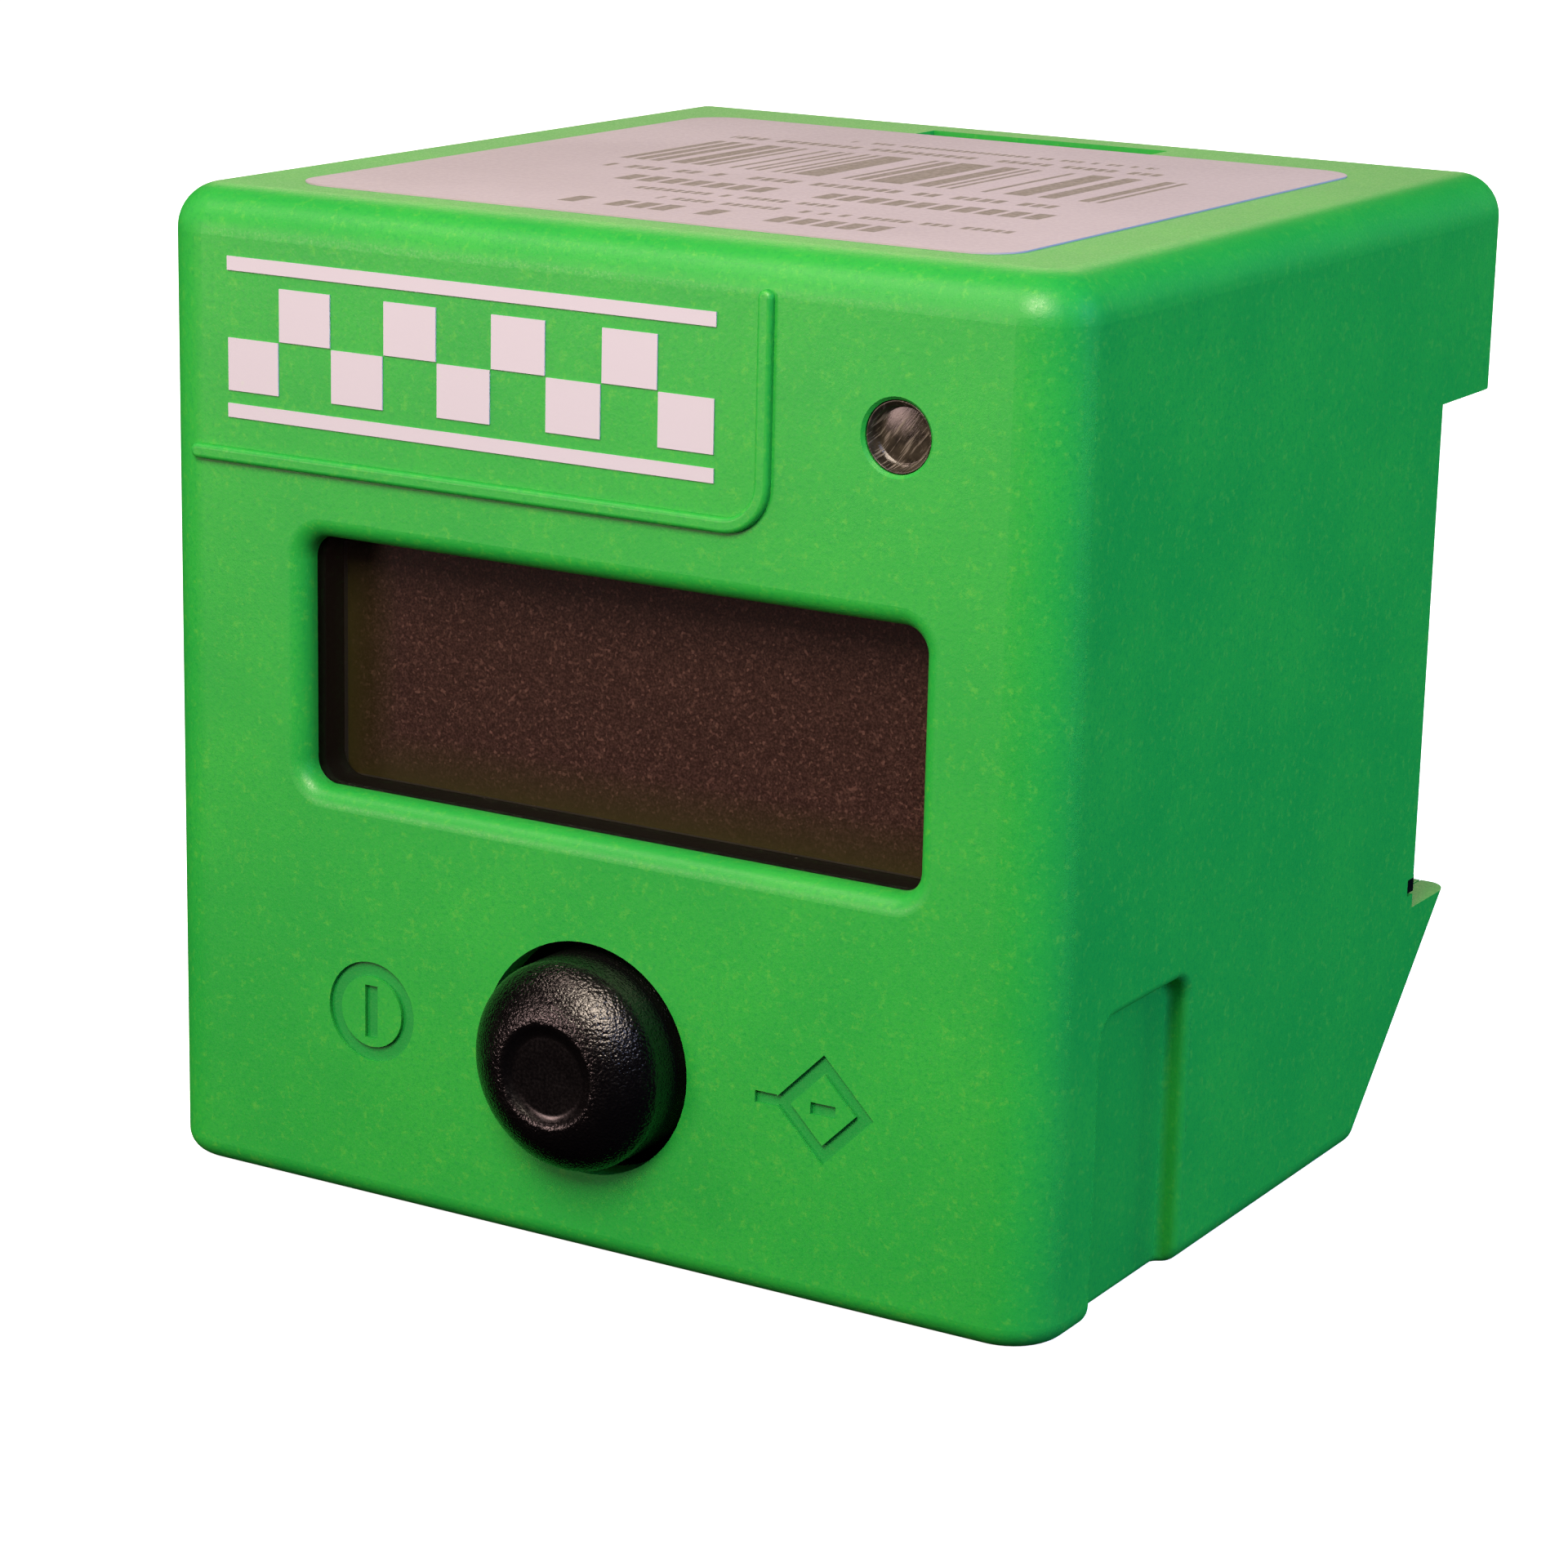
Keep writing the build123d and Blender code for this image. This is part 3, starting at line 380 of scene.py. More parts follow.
@dataclass(frozen=True)
class AntiGlareFilm:
    """Liquid-crystal glass under an etched anti-glare film, which glitters in fine brown grains."""

    left_mm: float
    low_mm: float
    name: str = "anti_glare_film"
    dark: str = "#40251F"
    light: str = "#B08072"
    # Olive of the painted stray light at the left and bottom edges, and how far in it fades.
    painted_stray_light: str = "#4E4C18"
    painted_stray_light_mm: float = 4.2
    grain_mm: float = 0.15

    def build(self) -> bpy.types.Material:
        """Build the material: two browns in fine grains, and olive painted along the left and bottom edges as
        painted stray light.
        """
        paint = Paint(self.name)
        grain = paint.noise(self.grain_mm, 2.0, 0.7)
        spot = add_node(paint.tree, "TexVoronoi", {"Scale": 1.0 / (self.grain_mm * MM * 1.4)},
                        {"Vector": paint.place}).outputs["Color"]
        lucky = paint.ramp(spot, 0.70, 0.98, 0.0, 0.7)
        share = paint.math("ADD", paint.ramp(grain, 0.40, 0.75, 0.0, 0.45), lucky, clamp=True)
        x, _, z = paint.axes()
        # Painted stray light: olive painted into the film's colour near its left and bottom edges.
        reach = self.painted_stray_light_mm * MM
        side = paint.ramp(x, self.left_mm * MM, self.left_mm * MM + reach, 0.95, 0.0)
        foot = paint.ramp(z, self.low_mm * MM, self.low_mm * MM + 0.8 * reach, 0.9, 0.0)
        brown = paint.blend(share, linear(self.dark), linear(self.light))
        paint.fix(IOR=1.5)
        paint.feed(Base_Color=paint.blend(paint.math("MAXIMUM", side, foot), brown, linear(self.painted_stray_light)),
                   Roughness=paint.ramp(grain, 0.3, 0.7, 0.38, 0.6),
                   Normal=paint.bump(grain, 0.012, 0.8))
        return paint.material


@dataclass(frozen=True)
class ScratchedLens:
    """Clear polycarbonate light guide seen end on: grey-brown, with fine slanting scratches."""

    name: str = "scratched_polycarbonate"
    colour: str = "#3F3A31"
    core: str = "#211E19"
    stroke: str = "#857E72"
    stroke_mm: float = 1.6
    slant_deg: float = 52.0

    def build(self) -> bpy.types.Material:
        """Build the material: cloudy base, long thin scratches one way, polished gloss."""
        paint = Paint(self.name)
        cloud = paint.noise(1.1, 3.0)
        slant = (0.0, math.radians(self.slant_deg), 0.0)
        lines = paint.noise(self.stroke_mm, 4.0, 0.6, (1.0, 1.0, 14.0), slant)
        cut = paint.ramp(lines, 0.54, 0.66)
        body = paint.blend(paint.ramp(cloud, 0.35, 0.65), linear(self.core), linear(self.colour))
        paint.fix(IOR=1.45)
        paint.feed(Base_Color=paint.blend(paint.math("MULTIPLY", cut, 0.55), body, linear(self.stroke)),
                   Roughness=paint.ramp(cut, 0.0, 1.0, 0.16, 0.45), Normal=paint.bump(lines, 0.02, 0.6))
        return paint.material


@dataclass(frozen=True)
class PadPrint:
    """Off-white two-part ink, pad printed over the grain: opaque, satin, a trace of the grain below."""

    name: str = "pad_print_off_white"
    thin: str = "#B9C9B9"
    colour: str = "#BEBCC8"

    def build(self) -> bpy.types.Material:
        """Build the material: nearly even ink with small thin spots."""
        paint = Paint(self.name)
        grain = paint.noise(0.2, 2.0)
        thin = paint.ramp(paint.noise(0.5, 3.0), 0.68, 0.80, 0.0, 0.25)
        paint.fix(IOR=1.5)
        paint.feed(Base_Color=paint.blend(thin, linear(self.colour), linear(self.thin)),
                   Roughness=paint.ramp(grain, 0.3, 0.7, 0.42, 0.58), Normal=paint.bump(grain, 0.006, 0.6))
        return paint.material


@dataclass(frozen=True)
class TypeLabel:
    """Polyester film label, thermal printed with plain bars and dashes and no words."""

    front_mm: float
    name: str = "printed_polyester_label"
    film: str = "#A69BA3"
    film_shade: str = "#9D929B"
    ink: str = "#40393D"
    bars_mm: tuple[float, float, float, float] = (-17.5, 19.5, 30.5, 43.5)
    bar_pitch_mm: float = 0.42
    rows_mm: tuple[tuple[float, float, float, float], ...] = (
        (9.0, 11.8, -9.5, 15.0), (13.8, 15.0, -4.0, 21.5), (17.2, 18.4, -9.0, 8.0), (20.6, 23.4, -12.0, 20.0),
        (26.0, 27.6, -16.0, 18.0), (45.6, 47.0, -18.0, 16.0), (49.0, 50.0, -10.0, 14.0),
    )

    def build(self) -> bpy.types.Material:
        """Build the material: bars from random columns, rows from random dashes, on satin film."""
        paint = Paint(self.name)
        x, y, _ = paint.axes()
        depth = paint.math("SUBTRACT", y, self.front_mm * MM)
        left, right, near, far = [v * MM for v in self.bars_mm]
        column = paint.math("FLOOR", paint.math("DIVIDE", x, self.bar_pitch_mm * MM))
        bars = paint.math("GREATER_THAN", paint.pick(column), 0.46)
        inside = paint.math("MULTIPLY", paint.band(x, left, right), paint.band(depth, near, far))
        ink = paint.math("MULTIPLY", bars, inside)
        for number, (low, high, start, end) in enumerate(self.rows_mm):
            size = (high - low) * MM * 0.6
            cell = paint.math("FLOOR", paint.math("DIVIDE", x, size))
            seed = paint.math("ADD", cell, 71.3 * (number + 1))
            place = paint.math("FRACT", paint.math("DIVIDE", x, size))
            dash = paint.math("MULTIPLY", paint.math("GREATER_THAN", paint.pick(seed), 0.22),
                              paint.band(place, 0.12, 0.86))
            row = paint.math("MULTIPLY", paint.band(depth, low * MM, high * MM),
                             paint.band(x, start * MM, end * MM))
            ink = paint.math("MAXIMUM", ink, paint.math("MULTIPLY", dash, row))
        worn = paint.ramp(paint.noise(0.4, 3.0), 0.35, 0.62, 0.72, 0.95)
        share = paint.math("MULTIPLY", ink, worn)
        tone = paint.ramp(paint.noise(16.0, 2.0), 0.35, 0.65)
        film = paint.blend(tone, linear(self.film), linear(self.film_shade))
        fibre = paint.noise(0.3, 2.0)
        paint.fix(IOR=1.5)
        paint.feed(Base_Color=paint.blend(share, film, linear(self.ink)),
                   Roughness=paint.ramp(fibre, 0.3, 0.7, 0.30, 0.42), Normal=paint.bump(fibre, 0.004, 0.5))
        return paint.material


@dataclass(frozen=True)
class PlatedMetal:
    """Plated or drawn metal with fine marks along one axis, a little dulled by its passivated skin."""

    name: str
    colour: str
    roughness: float = 0.3
    mark_mm: float = 0.3
    stretch: tuple[float, float, float] = (1.0, 8.0, 1.0)
    metallic: float = 0.8

    def build(self) -> bpy.types.Material:
        """Build the material: metal tone with long fine marks in gloss and height."""
        paint = Paint(self.name)
        marks = paint.noise(self.mark_mm, 3.0, 0.6, self.stretch)
        cloud = paint.noise(self.mark_mm * 12, 2.0)
        tint = paint.shaded(linear(self.colour), paint.ramp(cloud, 0.3, 0.7, 0.88, 1.05))
        paint.fix(Metallic=self.metallic)
        paint.feed(Base_Color=tint,
                   Roughness=paint.ramp(marks, 0.3, 0.7, self.roughness - 0.08, self.roughness + 0.1),
                   Normal=paint.bump(marks, 0.006, 0.5))
        return paint.material


@dataclass(frozen=True)
class SolderMask:
    """Glass-epoxy board under green solder mask, with copper tracks that show as lighter lines."""

    name: str = "solder_mask_green"
    mask: str = "#0D4A2B"
    track: str = "#1B7345"
    pitch_mm: float = 2.54

    def build(self) -> bpy.types.Material:
        """Build the material: straight tracks on a grid, cut into runs by blocky noise."""
        paint = Paint(self.name)
        x, _, z = paint.axes()
        lines = []
        for axis, other in ((x, z), (z, x)):
            place = paint.math("FRACT", paint.math("DIVIDE", axis, self.pitch_mm * MM))
            line = paint.band(place, 0.42, 0.58)
            run = paint.math("FLOOR", paint.math("DIVIDE", other, self.pitch_mm * MM * 3))
            row = paint.math("FLOOR", paint.math("DIVIDE", axis, self.pitch_mm * MM))
            key = paint.math("ADD", run, paint.math("MULTIPLY", row, 17.7))
            lines.append(paint.math("MULTIPLY", line, paint.math("GREATER_THAN", paint.pick(key), 0.5)))
        copper = paint.math("MAXIMUM", lines[0], lines[1])
        weave = paint.noise(0.4, 2.0)
        paint.fix(IOR=1.55)
        paint.feed(Base_Color=paint.blend(copper, linear(self.mask), linear(self.track)),
                   Roughness=paint.ramp(weave, 0.3, 0.7, 0.24, 0.36), Normal=paint.bump(copper, 0.03, 0.7))
        return paint.material


@dataclass(frozen=True)
class StudioCard:
    """Matt pale backlit acrylic under the object, as on a light table."""

    name: str = "backlit_white_acrylic"
    colour: str = "#F4F3F1"
    glow: float = 1.06

    def build(self) -> bpy.types.Material:
        """Build the material: nearly white and faintly lit from below, with a fine tooth."""
        paint = Paint(self.name)
        tooth = paint.noise(0.8, 2.0)
        paint.fix(Base_Color=linear(self.colour), IOR=1.4, Emission_Color=linear(self.colour),
                  Emission_Strength=self.glow)
        paint.feed(Roughness=paint.ramp(tooth, 0.3, 0.7, 0.75, 0.85))
        return paint.material


# ------------------------------------------------------------------ numpy surfaces
def dress(thing: bpy.types.Object, material: bpy.types.Material) -> None:
    """Give a piece one material in its only slot."""
    thing.data.materials.clear()
    thing.data.materials.append(material)


def surface(name: str, grids: list[np.ndarray], body: str) -> bpy.types.Object:
    """Make a piece from grids of points, each closed round its rows and at its poles.

    The faces join each point to its neighbours in the two directions of the grid. Points that fall
    together at a pole are merged, and the normals are turned outwards.

    Args:
        name: Name of the piece.
        grids: Points in metres, each rows by columns by three, all of one size.
        body: CAD body that the piece rides on.

    Returns:
        The new piece.
    """
    points = np.stack(grids)
    number = np.arange(points.size // 3).reshape(points.shape[:3])
    number = np.concatenate([number, number[:, :, :1]], axis=2)
    here, ahead = number[:, :-1], number[:, 1:]
    quads = np.stack([here[..., :-1], here[..., 1:], ahead[..., 1:], ahead[..., :-1]], axis=-1)
    mesh = bpy.data.meshes.new(name)
    mesh.from_pydata(points.reshape(-1, 3), [], quads.reshape(-1, 4))
    shape = bmesh.new()
    shape.from_mesh(mesh)
    bmesh.ops.remove_doubles(shape, verts=shape.verts, dist=1e-7)
    bmesh.ops.recalc_face_normals(shape, faces=shape.faces)
    shape.to_mesh(mesh)
    shape.free()
    mesh.shade_smooth()
    piece = bpy.data.objects.new(name, mesh)
    bpy.context.scene.collection.objects.link(piece)
    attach(piece, body)
    return piece


def turned(name: str, profile: np.ndarray, middle: Vector, body: str, steps: int = 128) -> bpy.types.Object:
    """Turn a profile about a line along Y.

    Each point at radius r and depth d goes to x = r cos t, z = r sin t and y = d, for t round the circle.

    Args:
        name: Name of the piece.
        profile: Radius and depth of each point in metres.
        middle: Point on the axis, whose Y is where depth is zero.
        body: CAD body that the piece rides on.
        steps: Points round the circle.

    Returns:
        The new piece.
    """
    turn = np.linspace(0.0, 2 * np.pi, steps, endpoint=False)
    radius, depth = profile[:, :1], profile[:, 1:]
    grid = np.stack([
        middle.x + radius * np.cos(turn),
        middle.y + depth + 0 * turn,
        middle.z + radius * np.sin(turn),
    ], axis=-1)
    return surface(name, [grid], body)


def rounded(corners: list[tuple[float, float]], radii: list[float], steps: int = 8) -> np.ndarray:
    """Round the corners of a profile with quarter-like arcs.

    At each corner a quadratic curve runs from a point on the line before it to a point on the line after
    it, with the corner as its middle control point. Both points lie the given radius from the corner.

    Args:
        corners: Points of the profile.
        radii: Cut-back at each corner, with 0 for sharp.
        steps: Points on each curve.

    Returns:
        The points of the rounded profile.
    """
    points = np.array(corners, float)
    made = [points[:1]]
    share = np.linspace(0.0, 1.0, steps)[:, None]
    for before, here, after, radius in zip(points[:-2], points[1:-1], points[2:], radii[1:-1]):
        if radius <= 0:
            made.append(here[None])
            continue
        start = here + (before - here) / np.linalg.norm(before - here) * radius
        end = here + (after - here) / np.linalg.norm(after - here) * radius
        made.append((1 - share) ** 2 * start + 2 * share * (1 - share) * here + share ** 2 * end)
    made.append(points[-1:])
    return np.concatenate(made)


# ------------------------------------------------------------------ sub-assemblies
@dataclass
class CoilSpring:
    """Compression springs of round wire."""

    name: str
    node: str
    joint: str
    axis: int
    wire_mm: float
    radius_mm: float
    turns: float
    travel_mm: float
    apart_mm: float = 0.0
    finish: str = "drawn_spring_wire"
    close: float = 0.45
    steps_per_turn: int = 40
    wire_steps: int = 14

    def coil(self, offset: float) -> np.ndarray:
        """Work out one coil as a tube.

        Its middle line is c(t) = (R cos t, R sin t, h(t)), where the height h is a smooth step of t, so
        the end turns lie close together. About it runs a circle of the wire's radius, spanned by the
        outward direction (cos t, sin t, 0) and the axis. The circle shrinks to a point at both ends.

        Args:
            offset: Sideways shift of the coil along X in metres.

        Returns:
            Points by turns of the wire, in metres.
        """
        low, high = [np.array(corner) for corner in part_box(self.node)]
        wire = self.wire_mm * MM / 2
        length = high[self.axis] - low[self.axis] - 2 * wire
        share = np.linspace(0.0, 1.0, int(self.turns * self.steps_per_turn) + 1)
        turn = (2 * np.pi * self.turns * share)[:, None]
        smooth = 3 * share ** 2 - 2 * share ** 3
        rise = (length * ((1 - self.close) * share + self.close * smooth))[:, None]
        round_wire = np.linspace(0.0, 2 * np.pi, self.wire_steps, endpoint=False)[None]
        thick = np.full_like(share, wire)
        thick[[0, -1]] = 0.0
        reach = self.radius_mm * MM + thick[:, None] * np.cos(round_wire)
        parts = [reach * np.cos(turn), reach * np.sin(turn), rise + thick[:, None] * np.sin(round_wire)]
        if self.axis == 1:
            parts = [parts[0], parts[2], parts[1]]
        middle = (low + high) / 2
        middle[self.axis] = low[self.axis] + wire
        middle[0] += offset
        return np.stack(parts, axis=-1) + middle

    def build(self) -> list[str]:
        """Wind the coils.

        Returns:
            Name of the piece.
        """
        half = self.apart_mm * MM / 2
        grids = [self.coil(side * half) for side in ((-1, 1) if half else (0,))]
        piece = surface(self.name, grids, "body")
        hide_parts(self.node)
        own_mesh(piece)
        dress(piece, PlatedMetal(self.finish, "#9A9C9E", 0.26).build())
        return [piece.name]


@dataclass
class Shell:
    """Green housing, rear cover and rail latch, with the screws and the rubber strip of the rail seat."""

    def build(self) -> list[str]:
        """Dress the nodes of the shell.

        Returns:
            Names of the dressed nodes.
        """
        green = SparkErodedABS(face_mm=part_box("front_mark")[1].y / MM).build()
        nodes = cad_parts
        for name in ("main_housing", "rear_cover", "rail_latch"):
            dress(nodes[name], green)
        dress(nodes["rail_pad"], Moulding("moulded_nitrile_rubber", "#0B0B0B", Sheen.MATT).build())
        dress(nodes["cover_screws"], PlatedMetal("zinc_plated_steel", "#B9BBBA", 0.32).build())
        springs = CoilSpring("latch_coils", "latch_springs", "latch_release", 2, 0.5, 1.5, 5.0, 2.2, 25.2,
                             "drawn_latch_wire")
        return ["main_housing", "rear_cover", "rail_latch", "rail_pad", "cover_screws", *springs.build()]


@dataclass
class Prints:
    """Pad-printed band on the front and the label on the top."""

    def build(self) -> list[str]:
        """Dress the printed nodes.

        Returns:
            Names of the dressed nodes.
        """
        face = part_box("front_mark")[1].y / MM
        dress(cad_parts["front_mark"], PadPrint().build())
        dress(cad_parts["top_label"], TypeLabel(front_mm=face).build())
        return ["front_mark", "top_label"]


@dataclass
class Display:
    """Smoked pane, its frame and the liquid-crystal stack behind it."""

    bezel_lip_mm: float = 1.6

    def build(self) -> list[str]:
        """Dress every node of the display.

        Returns:
            Names of the dressed nodes.
        """
        low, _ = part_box("lcd_glass_front")
        # Where the film's painted stray light starts, just inside the bezel lip.
        edge = low / MM + Vector((1.0, 0.0, 1.0)) * self.bezel_lip_mm
        finishes: dict[str, Any] = {
            "display_window": SmokedAcrylic(),
            "window_gasket": Moulding("closed_cell_foam", "#0A120B", Sheen.MATT, 0.35, 0.03),
            "lcd_bezel": PlatedMetal("tinned_sheet_steel", "#8E8F8C", 0.34),
            "lcd_glass_front": AntiGlareFilm(left_mm=edge.x, low_mm=edge.z),
            "lcd_glass_rear": Moulding("float_glass_edge", "#3C4A44", Sheen.POLISHED, 0.6, 0.002, 1.52),
            "backlight_diffuser": Moulding("frosted_acrylic", "#DFE5E0", Sheen.SATIN, 0.2, 0.01, 1.49),
            "backlight_tray": Moulding("white_polycarbonate", "#E4E3DE", Sheen.SATIN, 0.3),
            "zebra_strips": Moulding("layered_silicone", "#3A3B3D", Sheen.MATT, 0.3),
        }
        for name, finish in finishes.items():
            dress(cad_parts[name], finish.build())
        return list(finishes)


@dataclass
class PushButton:
    """Domed cap with a finger dish, its spring, guide and switch."""

    rim_mm: float = 1.9
    dish_radius_mm: float = 3.5
    dish_depth_mm: float = 0.3
    dish_floor_mm: float = 2.5
    swell: float = 1.5
    flange_mm: float = 1.0
    flange_reach_mm: float = 2.0
    wall_mm: float = 2.6
    stem_mm: float = 3.0
    corner_mm: float = 0.15

    def cap(self) -> bpy.types.Object:
        """Turn the cap from its profile.

        The dish has a flat floor out to radius F, then rises to its crest as a cosine step:
        depth = dish (1 + cos(pi (r - F) / (R - F))) / 2, with the crest at radius R. Beyond the crest a
        quarter of a superellipse falls to the rim.

        Returns:
            The cap, which stands for its CAD node.
        """
        low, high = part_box("button_cap")
        flange = (high.x - low.x) / 2
        middle = Vector(((low.x + high.x) / 2, low.y, (low.z + high.z) / 2))
        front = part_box("front_mark")[1].y - low.y
        hole = self.wall_mm * MM
        radius = flange - self.flange_reach_mm * MM
        dish = self.dish_radius_mm * MM
        rim = front - self.rim_mm * MM
        floor = self.dish_floor_mm * MM
        inner = np.linspace(0.0, dish, 56)
        rise = np.clip((inner - floor) / (dish - floor), 0.0, 1.0)
        bowl = np.stack([inner, self.dish_depth_mm * MM * (1 + np.cos(np.pi * rise)) / 2], axis=1)
        turn = np.linspace(0.0, np.pi / 2, 48)[1:]
        power = 2 / self.swell
        dome = np.stack([dish + (radius - dish) * np.sin(turn) ** power,
                         rim * (1 - np.cos(turn) ** power)], axis=1)
        back = (high.y - low.y)
        stem = self.stem_mm * MM
        corner = self.corner_mm * MM
        seat = front + hole
        rear = seat + self.flange_mm * MM
        tail = rounded([(radius, rim + 0.2 * MM), (radius, seat), (flange, seat), (flange, rear),
                        (stem, rear), (stem, back), (0.0, back)],
                       [0, 0, corner, corner, 0, 0.2 * MM, 0])
        piece = turned("button_cap_skin", np.concatenate([bowl, dome, tail]), middle, "button", 160)
        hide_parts("button_cap")
        centre = (middle.x / MM, middle.z / MM)
        dress(piece, GrainedCap(middle_mm=centre, dish_mm=self.dish_radius_mm).build())
        return piece

    def build(self) -> list[str]:
        """Build the cap and dress what is behind it.

        Returns:
            Names of the pieces.
        """
        finishes: dict[str, Any] = {
            "button_guide": Moulding("natural_nylon", "#CFC7B0", Sheen.SATIN),
            "switch_body": Moulding("glass_filled_black_nylon", "#1A1A1B", Sheen.SATIN),
            "switch_plunger": Moulding("red_acetal", "#A5201C", Sheen.SATIN),
        }
        for name, finish in finishes.items():
            dress(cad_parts[name], finish.build())
        spring = CoilSpring("button_coil", "button_spring", "button_press", 1, 0.4, 5.2, 2.0, 1.2)
        return [self.cap().name, *finishes, *spring.build()]


@dataclass
class StatusLight:
    """Light guide with a barely domed end, and the small light behind it."""

    dome_mm: float = 0.12
    bevel_mm: float = 0.45
    cup_mm: float = 0.75
    seat_mm: float = 1.2
    collar_mm: float = 1.0
    collar_reach_mm: float = 0.81
    rod_reach_mm: float = 1.2

    def guide(self) -> bpy.types.Object:
        """Turn the light guide: a shallow dome inside a raised clear rim, then its collar and its rod.

        Returns:
            The guide, which stands for its CAD node.
        """
        low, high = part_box("light_pipe")
        middle = Vector(((low.x + high.x) / 2, low.y, (low.z + high.z) / 2))
        collar = (high.x - low.x) / 2
        face = collar - self.collar_reach_mm * MM
        rod = collar - self.rod_reach_mm * MM
        back = high.y - low.y
        seat = self.seat_mm * MM
        rear = seat + self.collar_mm * MM
        cup = self.cup_mm * MM
        radius = np.linspace(0.0, face - self.bevel_mm * MM, 24)
        bulge = self.dome_mm * MM * (radius / radius[-1]) ** 2
        front = np.stack([radius, bulge], axis=1)
        rest = rounded([(radius[-1], bulge[-1]), (face - 0.09 * MM, -cup), (face, -cup), (face, seat),
                        (collar, seat), (collar, rear), (rod, rear), (rod, back), (0.0, back)],
                       [0, 0.04 * MM, 0.04 * MM, 0, 0.1 * MM, 0.1 * MM, 0, 0.1 * MM, 0])
        piece = turned("light_guide", np.concatenate([front, rest]), middle, "body", 96)
        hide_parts("light_pipe")
        dress(piece, ScratchedLens().build())
        return piece

    def build(self) -> list[str]:
        """Build the light guide and dress the light.

        Returns:
            Names of the pieces.
        """
        dress(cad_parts["status_led"], Moulding("tinted_epoxy", "#C46A2C", Sheen.POLISHED).build())
        return [self.guide().name, "status_led"]


@dataclass
class Electronics:
    """Boards and the parts on them, with the supply socket in the bottom."""

    def build(self) -> list[str]:
        """Dress every electronic node.

        Returns:
            Names of the dressed nodes.
        """
        mask = SolderMask().build()
        steel = PlatedMetal("tinned_can_steel", "#A9AAA8", 0.3).build()
        black = Moulding("black_liquid_crystal_polymer", "#151516", Sheen.SATIN).build()
        epoxy = Moulding("moulded_epoxy", "#1B1C1E", Sheen.GRAINED, 0.12).build()
        shared = {
            "display_board": mask, "main_board": mask, "crystal": steel, "backup_battery": steel,
            "board_header": black, "board_socket": black, "battery_holder": black, "buzzer": black,
            "microcontroller": epoxy, "voltage_regulator": epoxy, "power_socket": black,
            "board_standoffs": PlatedMetal("nickel_plated_brass", "#C2B893", 0.25).build(),
            "board_screws": PlatedMetal("zinc_plated_board_steel", "#B4B6B5", 0.3).build(),
            "capacitors": PlatedMetal("aluminium_can", "#8D9196", 0.35).build(),
            "fuse": Moulding("fuse_glass", "#B9C4BF", Sheen.POLISHED, 0.5, 0.002, 1.5).build(),
            "socket_pins": PlatedMetal("gold_flashed_bronze", "#D9B15A", 0.22).build(),
        }
        for name, material in shared.items():
            dress(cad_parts[name], material)
        return list(shared)


# ------------------------------------------------------------------ studio
@dataclass(frozen=True)
class Softbox:
    """One square area light, aimed at a point."""

    name: str
    place_mm: tuple[float, float, float]
    aim_mm: tuple[float, float, float]
    size_mm: float
    watts: float
    colour: str
    mirrored: bool = True

    def build(self) -> bpy.types.Object:
        """Place the light so that it faces its aim, with or without its mirror image in gloss."""
        lamp = bpy.data.lights.new(self.name, "AREA")
        lamp.shape = "SQUARE"
        lamp.size = self.size_mm * MM
        lamp.energy = self.watts
        lamp.color = linear(self.colour)[:3]
        thing = bpy.data.objects.new(self.name, lamp)
        bpy.context.scene.collection.objects.link(thing)
        place = Vector(self.place_mm) * MM
        toward = Vector(self.aim_mm) * MM - place
        thing.location = place
        thing.rotation_euler = toward.to_track_quat("-Z", "Y").to_euler()
        thing.visible_camera = False
        thing.visible_glossy = self.mirrored
        return thing


@dataclass(frozen=True)
class Viewpoint:
    """Camera with a long lens, above and to the right of the front."""

    place_mm: tuple[float, float, float] = (143.85, -248.9, 101.39)
    azimuth_deg: float = 30.61
    elevation_deg: float = 15.0
    roll_deg: float = 1.33
    lens_mm: float = 99.17

    def build(self) -> bpy.types.Object:
        """Make the camera and set it as the scene's own.

        The back of the camera points along (sin a cos e, -cos a cos e, sin e), and the picture is rolled
        about that line.

        Returns:
            The camera.
        """
        azimuth, rise, roll = [math.radians(v) for v in (self.azimuth_deg, self.elevation_deg, self.roll_deg)]
        level_part = math.cos(rise)
        back = Vector((math.sin(azimuth) * level_part, -math.cos(azimuth) * level_part, math.sin(rise)))
        level = (-back).cross(Vector((0, 0, 1))).normalized()
        top = level.cross(-back)
        right = level * math.cos(roll) + top * math.sin(roll)
        up = top * math.cos(roll) - level * math.sin(roll)
        lens = bpy.data.cameras.new("studio_camera")
        lens.lens = self.lens_mm
        lens.sensor_width = 36.0
        lens.clip_start = 0.01
        camera = bpy.data.objects.new("studio_camera", lens)
        bpy.context.scene.collection.objects.link(camera)
        turn = Matrix((right, up, back)).transposed().to_4x4()
        camera.matrix_world = Matrix.Translation(Vector(self.place_mm) * MM) @ turn
        bpy.context.scene.camera = camera
        return camera


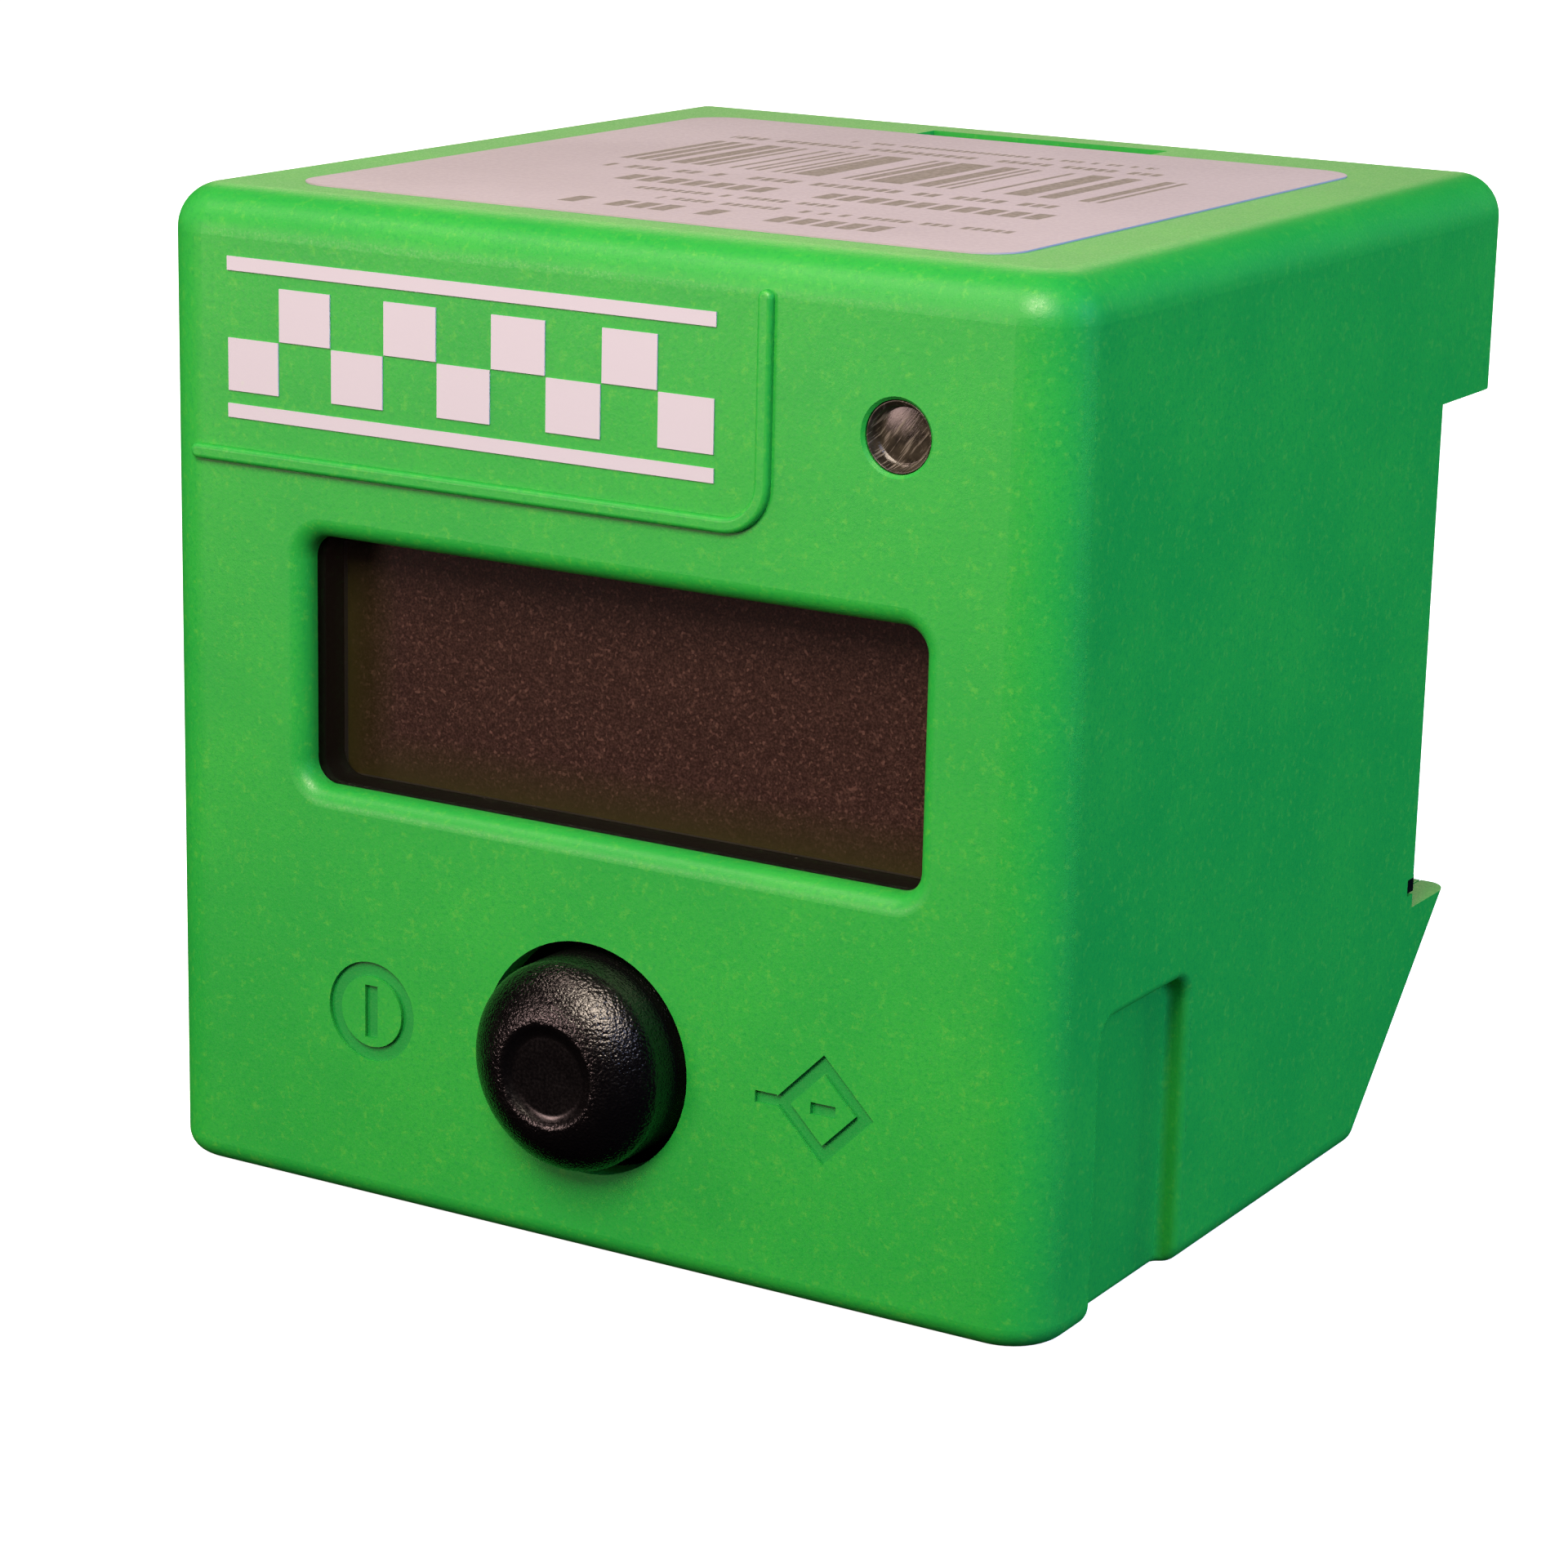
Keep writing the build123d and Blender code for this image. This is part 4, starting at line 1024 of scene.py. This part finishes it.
@dataclass
class Studio:
    """Pale card under the object, soft lights and an even surround."""

    card_mm: float = 3000.0
    surround: str = "#FFFFFF"
    surround_strength: float = 0.06
    lights: tuple[Softbox, ...] = (
        Softbox("key_softbox", (45.0, -275.0, 264.0), (10.0, -30.0, 45.0), 165.0, 1.66, "#FFEBD6"),
        Softbox("low_front_softbox", (-300.0, -480.0, 88.0), (0.0, 0.0, 40.0), 160.0, 0.85, "#FFD8D2"),
        Softbox("upper_left_lamp", (-270.0, -235.0, 455.0), (0.0, -30.0, 30.0), 120.0, 0.45, "#FFE0D2"),
        Softbox("upper_right_lamp", (290.0, -400.0, 300.0), (0.0, -30.0, 15.0), 110.0, 0.3, "#B4C8FF"),
        Softbox("rear_left_softbox", (-320.0, 500.0, 400.0), (-10.0, 0.0, 60.0), 420.0, 1.15, "#FFE8C4"),
        Softbox("side_fill", (620.0, 20.0, 260.0), (30.0, 0.0, 33.0), 420.0, 6.0, "#7FA4FF", False),
        Softbox("left_fill", (-620.0, -60.0, 240.0), (-30.0, 0.0, 33.0), 420.0, 1.9, "#F4F8FF", False),
        Softbox("rear_fill", (200.0, 650.0, 140.0), (0.0, 30.0, 33.0), 260.0, 3.5, "#F8FBFF", False),
    )

    def card(self) -> bpy.types.Object:
        """Lay a flat square card at the level of the object's base."""
        half = self.card_mm * MM / 2
        mesh = bpy.data.meshes.new("studio_card")
        corners = np.array([(-half, -half, 0), (half, -half, 0), (half, half, 0), (-half, half, 0)])
        mesh.from_pydata(corners, [], [(0, 1, 2, 3)])
        card = bpy.data.objects.new("studio_card", mesh)
        bpy.context.scene.collection.objects.link(card)
        card.visible_diffuse = False
        card.visible_glossy = False
        dress(card, StudioCard().build())
        return card

    def build(self) -> list[str]:
        """Build the card, the lights, the surround and the camera.

        Returns:
            Names of what was made.
        """
        scene = bpy.context.scene
        world = bpy.data.worlds.new("studio_surround")
        world.use_nodes = True
        sky = world.node_tree.nodes["Background"]
        sky.inputs["Color"].default_value = linear(self.surround)
        sky.inputs["Strength"].default_value = self.surround_strength
        world.cycles_visibility.glossy = False
        scene.world = world
        scene.view_settings.view_transform = "Standard"
        scene.view_settings.look = "None"
        return [self.card().name, *[light.build().name for light in self.lights], Viewpoint().build().name]


def main() -> None:
    """Build every sub-assembly and the studio, and report each piece."""
    logging.basicConfig(level=logging.INFO, format="%(name)s: %(message)s")
    for assembly in (Shell(), Prints(), Display(), PushButton(), StatusLight(), Electronics(), Studio()):
        names = assembly.build()
        LOG.info("%s: %s", type(assembly).__name__, ", ".join(names))


if __name__ == "__main__":
    main()
